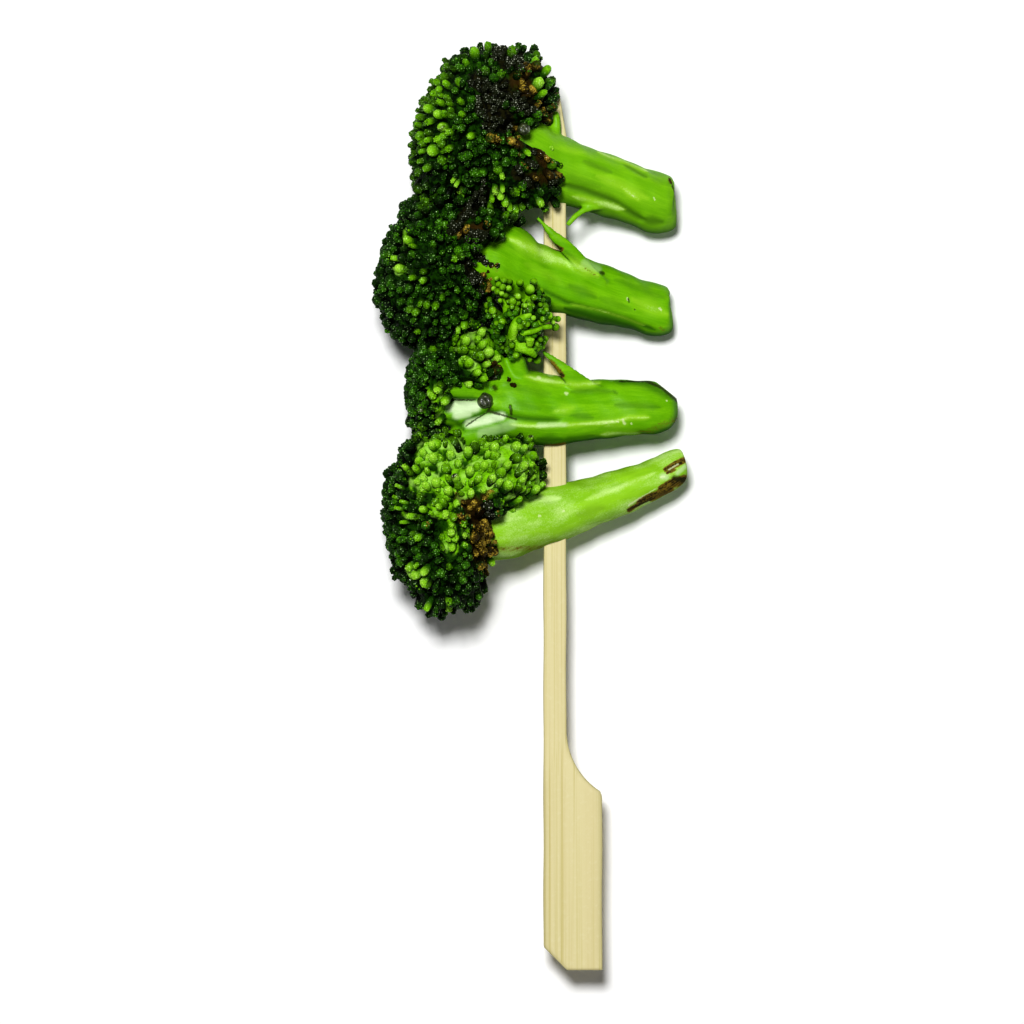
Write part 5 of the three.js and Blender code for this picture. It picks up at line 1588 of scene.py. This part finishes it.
def build_twigs(node, centre, fork, bend, tips, material):
    """The side cluster's branches: a few fleshy ones that stand out, and thinner ones from the fork to each tip,
    quadratic curves drawn towards their bends."""
    share = np.linspace(0, 1, 6)[None, :, None]
    spine = (1 - share) ** 2 * fork + 2 * share * (1 - share) * bend[:, None] + share**2 * tips[:, None]
    radius = (1.3 - 0.65 * share[..., 0]) * (0.8 + 0.4 * draw(np.arange(len(tips)) + 43))[:, None]
    shapes = [tube(np.column_stack([line, thick]), TWIG_SIDES, per_span=2) for line, thick in zip(spine, radius)]
    shapes += [tube(row, SIDE_BRANCH_SIDES, per_span=6) for row in SIDE_BRANCHES]
    points, quads, triangles = join(shapes)
    tones = [*(0.12 + 0.3 * draw(np.arange(len(tips)) + 47)), *np.full(len(SIDE_BRANCHES), 0.66)]
    open_tone = np.concatenate([np.full(len(shape[0]), value) for shape, value in zip(shapes, tones)])
    # Twigs lower in the cluster are painted less fresh and with more foot shade: painted shade deeper inside.
    deep = smooth_step(points[:, 2] - centre[2], -2.0, 4.6)
    mesh = new_mesh(f"{node}_twigs", points, quads, triangles)
    zeros = np.zeros(len(points))
    paint(
        mesh, fresh=open_tone * (0.35 + 0.65 * deep), char=zeros, brown=zeros, tone=open_tone,
        tip=0.25 + 0.65 * deep, flank=zeros - 0.86,
    )
    new_piece(f"{node}_twigs", mesh, material, node)


def build_round_buds(node, centre, peaks, tips, material):
    """The side cluster's round buds: a golden spiral about each tip, and those that stand out."""
    j = np.tile(np.arange(SIDE_BUDS_EACH), len(tips))
    n = np.repeat(np.arange(len(tips)), SIDE_BUDS_EACH)
    number = n * 31 + j
    z = 1 - (j + 0.4) / SIDE_BUDS_EACH
    across = np.sqrt(1 - z * z)
    spin = j * GOLDEN_ANGLE + ONE_TURN * draw(n + 51)
    first = sideways(peaks[n])
    second = np.cross(peaks[n], first)
    out = first * (across * np.cos(spin))[:, None] + second * (across * np.sin(spin))[:, None]
    out = out + peaks[n] * z[:, None]
    middle = tips[n] + out * (0.85 + 0.6 * draw(number + 53))[:, None] - peaks[n] * 0.4
    size = 0.46 + 0.46 * draw(number + 57)
    stay = clear_of(middle, size, *SIDE_CLUSTER) & (draw(number + 59) > 0.12)
    buds = np.array(SIDE_BUDS)
    middle = np.concatenate([middle[stay], buds[:, :3]])
    size = np.concatenate([size[stay], buds[:, 3]])
    out = np.concatenate([unit(out)[stay], unit(buds[:, :3] - centre)])
    tone = draw(np.concatenate([number[stay], 7000 + np.arange(len(buds))]) + 61)
    seeded, chosen = tone[:stay.sum()], tone[stay.sum():]
    fresh = np.concatenate([0.65 - 0.62 * smooth_step(seeded, 0.2, 0.6), 0.45 + 0.45 * chosen])
    shape, *faces = bead_shape(*SIDE_BUD_GRID)
    points = set_out(shape, middle, out, size, size * 1.1)
    look = {
        "fresh": fresh, "char": patch(middle, CHARRED) * (fresh < 0.8), "brown": 0 * tone, "tone": tone,
        "flank": 0 * tone,
    }
    # The tip value is lower on each bud's lower side, for painted shade under it.
    add_buds(f"{node}_round_buds", node, shape, faces, points, 0.5 + 0.45 * shape[:, 2], look, material)


def build_loose(floret, head, material):
    """The loose side cluster: branches and buds towards those of its peaks that nothing presses on."""
    relief = head_relief(head, floret)
    centre, fork = np.array(head["centre"]), np.array(head["fork"])
    peaks, _ = cluster_peaks(head)
    tips = centre + peaks * (relief(peaks) - 0.2 + 1.2 * draw(np.arange(len(peaks)) + 41))[:, None]
    keep = clear_of(tips, np.full(len(tips), 0.8), *SIDE_CLUSTER) & (draw(np.arange(len(peaks)) + 7) < TWIG_SHARE)
    peaks, tips = peaks[keep], tips[keep]
    bend = centre + peaks * (0.45 * relief(peaks))[:, None]
    node = f"head_{floret['name']}"
    build_twigs(node, centre, fork, bend, tips, material)
    build_round_buds(node, centre, peaks, tips, material)


# Rings and points of a head's core, how deep it lies under the relief, and its caps' width, as for the knobs.
CORE_GRID = (60, 100)
CORE_DEPTH = 0.9
CORE_CAP_SPREAD = 0.62


def build_core(floret, index, material):
    """The inside of a floret's head, painted dark as shade: the relief just below its clusters and raised a little
    under each one's cap, on a grid of directions. A side cluster's core is a small plain one, and none comes near the
    surface below."""
    shapes, heights = [], []
    direction, *faces = bead_shape(*CORE_GRID)
    for part, head in enumerate(floret["heads"]):
        reach = head_relief(head, floret)(direction)
        centre = np.array(head["centre"])
        if "fork" in head:
            points = centre + direction * (0.55 * reach)[:, None]
            heights.append(np.zeros(len(points)))
        else:
            peaks, spacing = cluster_peaks(head)
            away = np.arccos(np.clip((direction @ peaks.T).max(axis=1), -1, 1))
            mound = CLUSTER_HEIGHT * np.sqrt(np.maximum(0, 1 - (away / (CORE_CAP_SPREAD * spacing)) ** 2))
            shown = clear_of(centre + direction * (reach + mound)[:, None], np.full(len(reach), 0.5), index, part)
            ripe = patch(centre + direction * reach[:, None], FRESH)
            points = centre + direction * (reach - CORE_DEPTH + shown * (0.3 + 0.3 * ripe) * mound)[:, None]
            # The mound heights paint shade low between the clusters.
            heights.append(mound / CLUSTER_HEIGHT)
        points[:, 2] = np.maximum(points[:, 2], 0.4)
        shapes.append((points, *faces))
    points, quads, triangles = join(shapes)
    node = f"head_{floret['name']}"
    mesh = new_mesh(f"{node}_core", points, quads, triangles)
    paint(
        mesh, char=patch(points, CHARRED), brown=patch(points, BROWNED), fresh=patch(points, FRESH),
        high=np.concatenate(heights),
    )
    new_piece(f"{node}_core", mesh, material, node)


def floor_finish(settings):
    """The plain dull floor."""
    f = Finish("floor")
    return f.set(Base_Color=tuple(settings.floor), Roughness=0.9, Specular_IOR_Level=0.1)


def area_light(name, power, size, location, target):
    """A square light that faces a point."""
    lamp = bpy.data.lights.new(name, "AREA")
    lamp.energy = power
    lamp.size = size
    light = bpy.data.objects.new(name, lamp)
    light.location = location
    away = np.array(target) - np.array(location)
    light.rotation_euler = Vector(away).to_track_quat("-Z", "Y").to_euler()
    bpy.context.scene.collection.objects.link(light)


# The stage, in metres: the floor's half width and its drop below the bunch, and the lights' widths and places.
FLOOR_REACH = 4.0
FLOOR_DROP = 0.0002
KEY_WIDTH, KEY_PLACE = 0.25, (-0.12, 0.34, 1.25)
FILL_WIDTH, FILL_PLACE = 1.2, (0.6, -0.6, 1.0)
SKY_STRENGTH = 0.06
SENSOR_WIDTH = 36.0
CLIP_END = 20


def build_stage(settings):
    """A plain pale floor, soft light from the tip's side and above, and a camera that looks straight down."""
    scene = bpy.context.scene
    mesh = bpy.data.meshes.new("floor")
    corners = [(x * FLOOR_REACH, y * FLOOR_REACH, 0) for x, y in ((-1, -1), (1, -1), (1, 1), (-1, 1))]
    mesh.from_pydata(corners, [], [(0, 1, 2, 3)])
    floor = bpy.data.objects.new("floor", mesh)
    floor.location.z = -FLOOR_DROP
    mesh.materials.append(floor_finish(settings))
    scene.collection.objects.link(floor)
    middle = place(PHOTO_MIDDLE)
    area_light("key", settings.key, KEY_WIDTH, KEY_PLACE, middle)
    area_light("fill", settings.fill, FILL_WIDTH, FILL_PLACE, middle)
    world = bpy.data.worlds.new("studio")
    world.use_nodes = True
    sky = world.node_tree.nodes["Background"].inputs
    sky["Color"].default_value = (1, 1, 1, 1)
    sky["Strength"].default_value = SKY_STRENGTH
    scene.world = world
    scene.view_settings.view_transform = "Standard"
    scene.view_settings.look = "Medium High Contrast"
    lens = bpy.data.cameras.new("camera")
    lens.sensor_width = SENSOR_WIDTH
    lens.lens = SENSOR_WIDTH / 2 * settings.distance / (PHOTO_WIDTH * MM / 2)
    lens.clip_end = CLIP_END
    camera = bpy.data.objects.new("camera", lens)
    camera.location = (middle[0], middle[1], middle[2] + settings.distance)
    scene.collection.objects.link(camera)
    scene.camera = camera


class BUNCH_OT_skewer(bpy.types.Operator):
    """Make the bamboo skewer"""

    bl_idname = "bunch.skewer"
    bl_label = "Skewer"

    def execute(self, context):
        build_skewer(context.scene.bunch_skewer)
        return {"FINISHED"}


class BUNCH_OT_stalks(bpy.types.Operator):
    """Make the four stems with their branches and leaf stalks"""

    bl_idname = "bunch.stalks"
    bl_label = "Stalks"

    def execute(self, context):
        settings = context.scene.bunch_stalks
        material = stalk_finish(settings)
        for floret in FLORETS:
            build_stalk(floret, settings, material)
        build_cut_branches()
        return {"FINISHED"}


class BUNCH_OT_heads(bpy.types.Operator):
    """Make the four heads: cores, knobs and buds, and the loose side cluster"""

    bl_idname = "bunch.heads"
    bl_label = "Heads"

    def execute(self, context):
        settings = context.scene.bunch_buds
        buds, core = bud_finish(settings), core_finish()
        for index, floret in enumerate(FLORETS):
            build_core(floret, index, core)
            build_buds(floret, index, settings, buds)
        return {"FINISHED"}


class BUNCH_OT_stage(bpy.types.Operator):
    """Make the floor, the lights and the camera"""

    bl_idname = "bunch.stage"
    bl_label = "Stage"

    def execute(self, context):
        build_stage(context.scene.bunch_stage)
        return {"FINISHED"}


class BUNCH_PT_panel(bpy.types.Panel):
    """Lists the makers of the bunch with their settings"""

    bl_idname = "BUNCH_PT_panel"
    bl_label = "Baby Broccoli Bunch"
    bl_space_type = "VIEW_3D"
    bl_region_type = "UI"
    bl_category = "Bunch"

    def draw(self, context):
        scene = context.scene
        for operator, settings in (
            (BUNCH_OT_stage, scene.bunch_stage), (BUNCH_OT_skewer, scene.bunch_skewer),
            (BUNCH_OT_stalks, scene.bunch_stalks), (BUNCH_OT_heads, scene.bunch_buds),
        ):
            box = self.layout.box()
            box.operator(operator.bl_idname)
            for key in settings.__annotations__:
                box.prop(settings, key)


CLASSES = (
    BunchSkewerSettings, BunchStalkSettings, BunchBudSettings, BunchStageSettings,
    BUNCH_OT_stage, BUNCH_OT_skewer, BUNCH_OT_stalks, BUNCH_OT_heads, BUNCH_PT_panel,
)


def register():
    for cls in CLASSES:
        bpy.utils.register_class(cls)
    bpy.types.Scene.bunch_skewer = bpy.props.PointerProperty(type=BunchSkewerSettings)
    bpy.types.Scene.bunch_stalks = bpy.props.PointerProperty(type=BunchStalkSettings)
    bpy.types.Scene.bunch_buds = bpy.props.PointerProperty(type=BunchBudSettings)
    bpy.types.Scene.bunch_stage = bpy.props.PointerProperty(type=BunchStageSettings)


def unregister():
    del bpy.types.Scene.bunch_stage
    del bpy.types.Scene.bunch_buds
    del bpy.types.Scene.bunch_stalks
    del bpy.types.Scene.bunch_skewer
    for cls in reversed(CLASSES):
        bpy.utils.unregister_class(cls)


def main():
    register()
    bpy.ops.bunch.stage()
    bpy.ops.bunch.skewer()
    bpy.ops.bunch.stalks()
    bpy.ops.bunch.heads()
    bpy.context.view_layer.update()


if __name__ == "__main__":
    main()
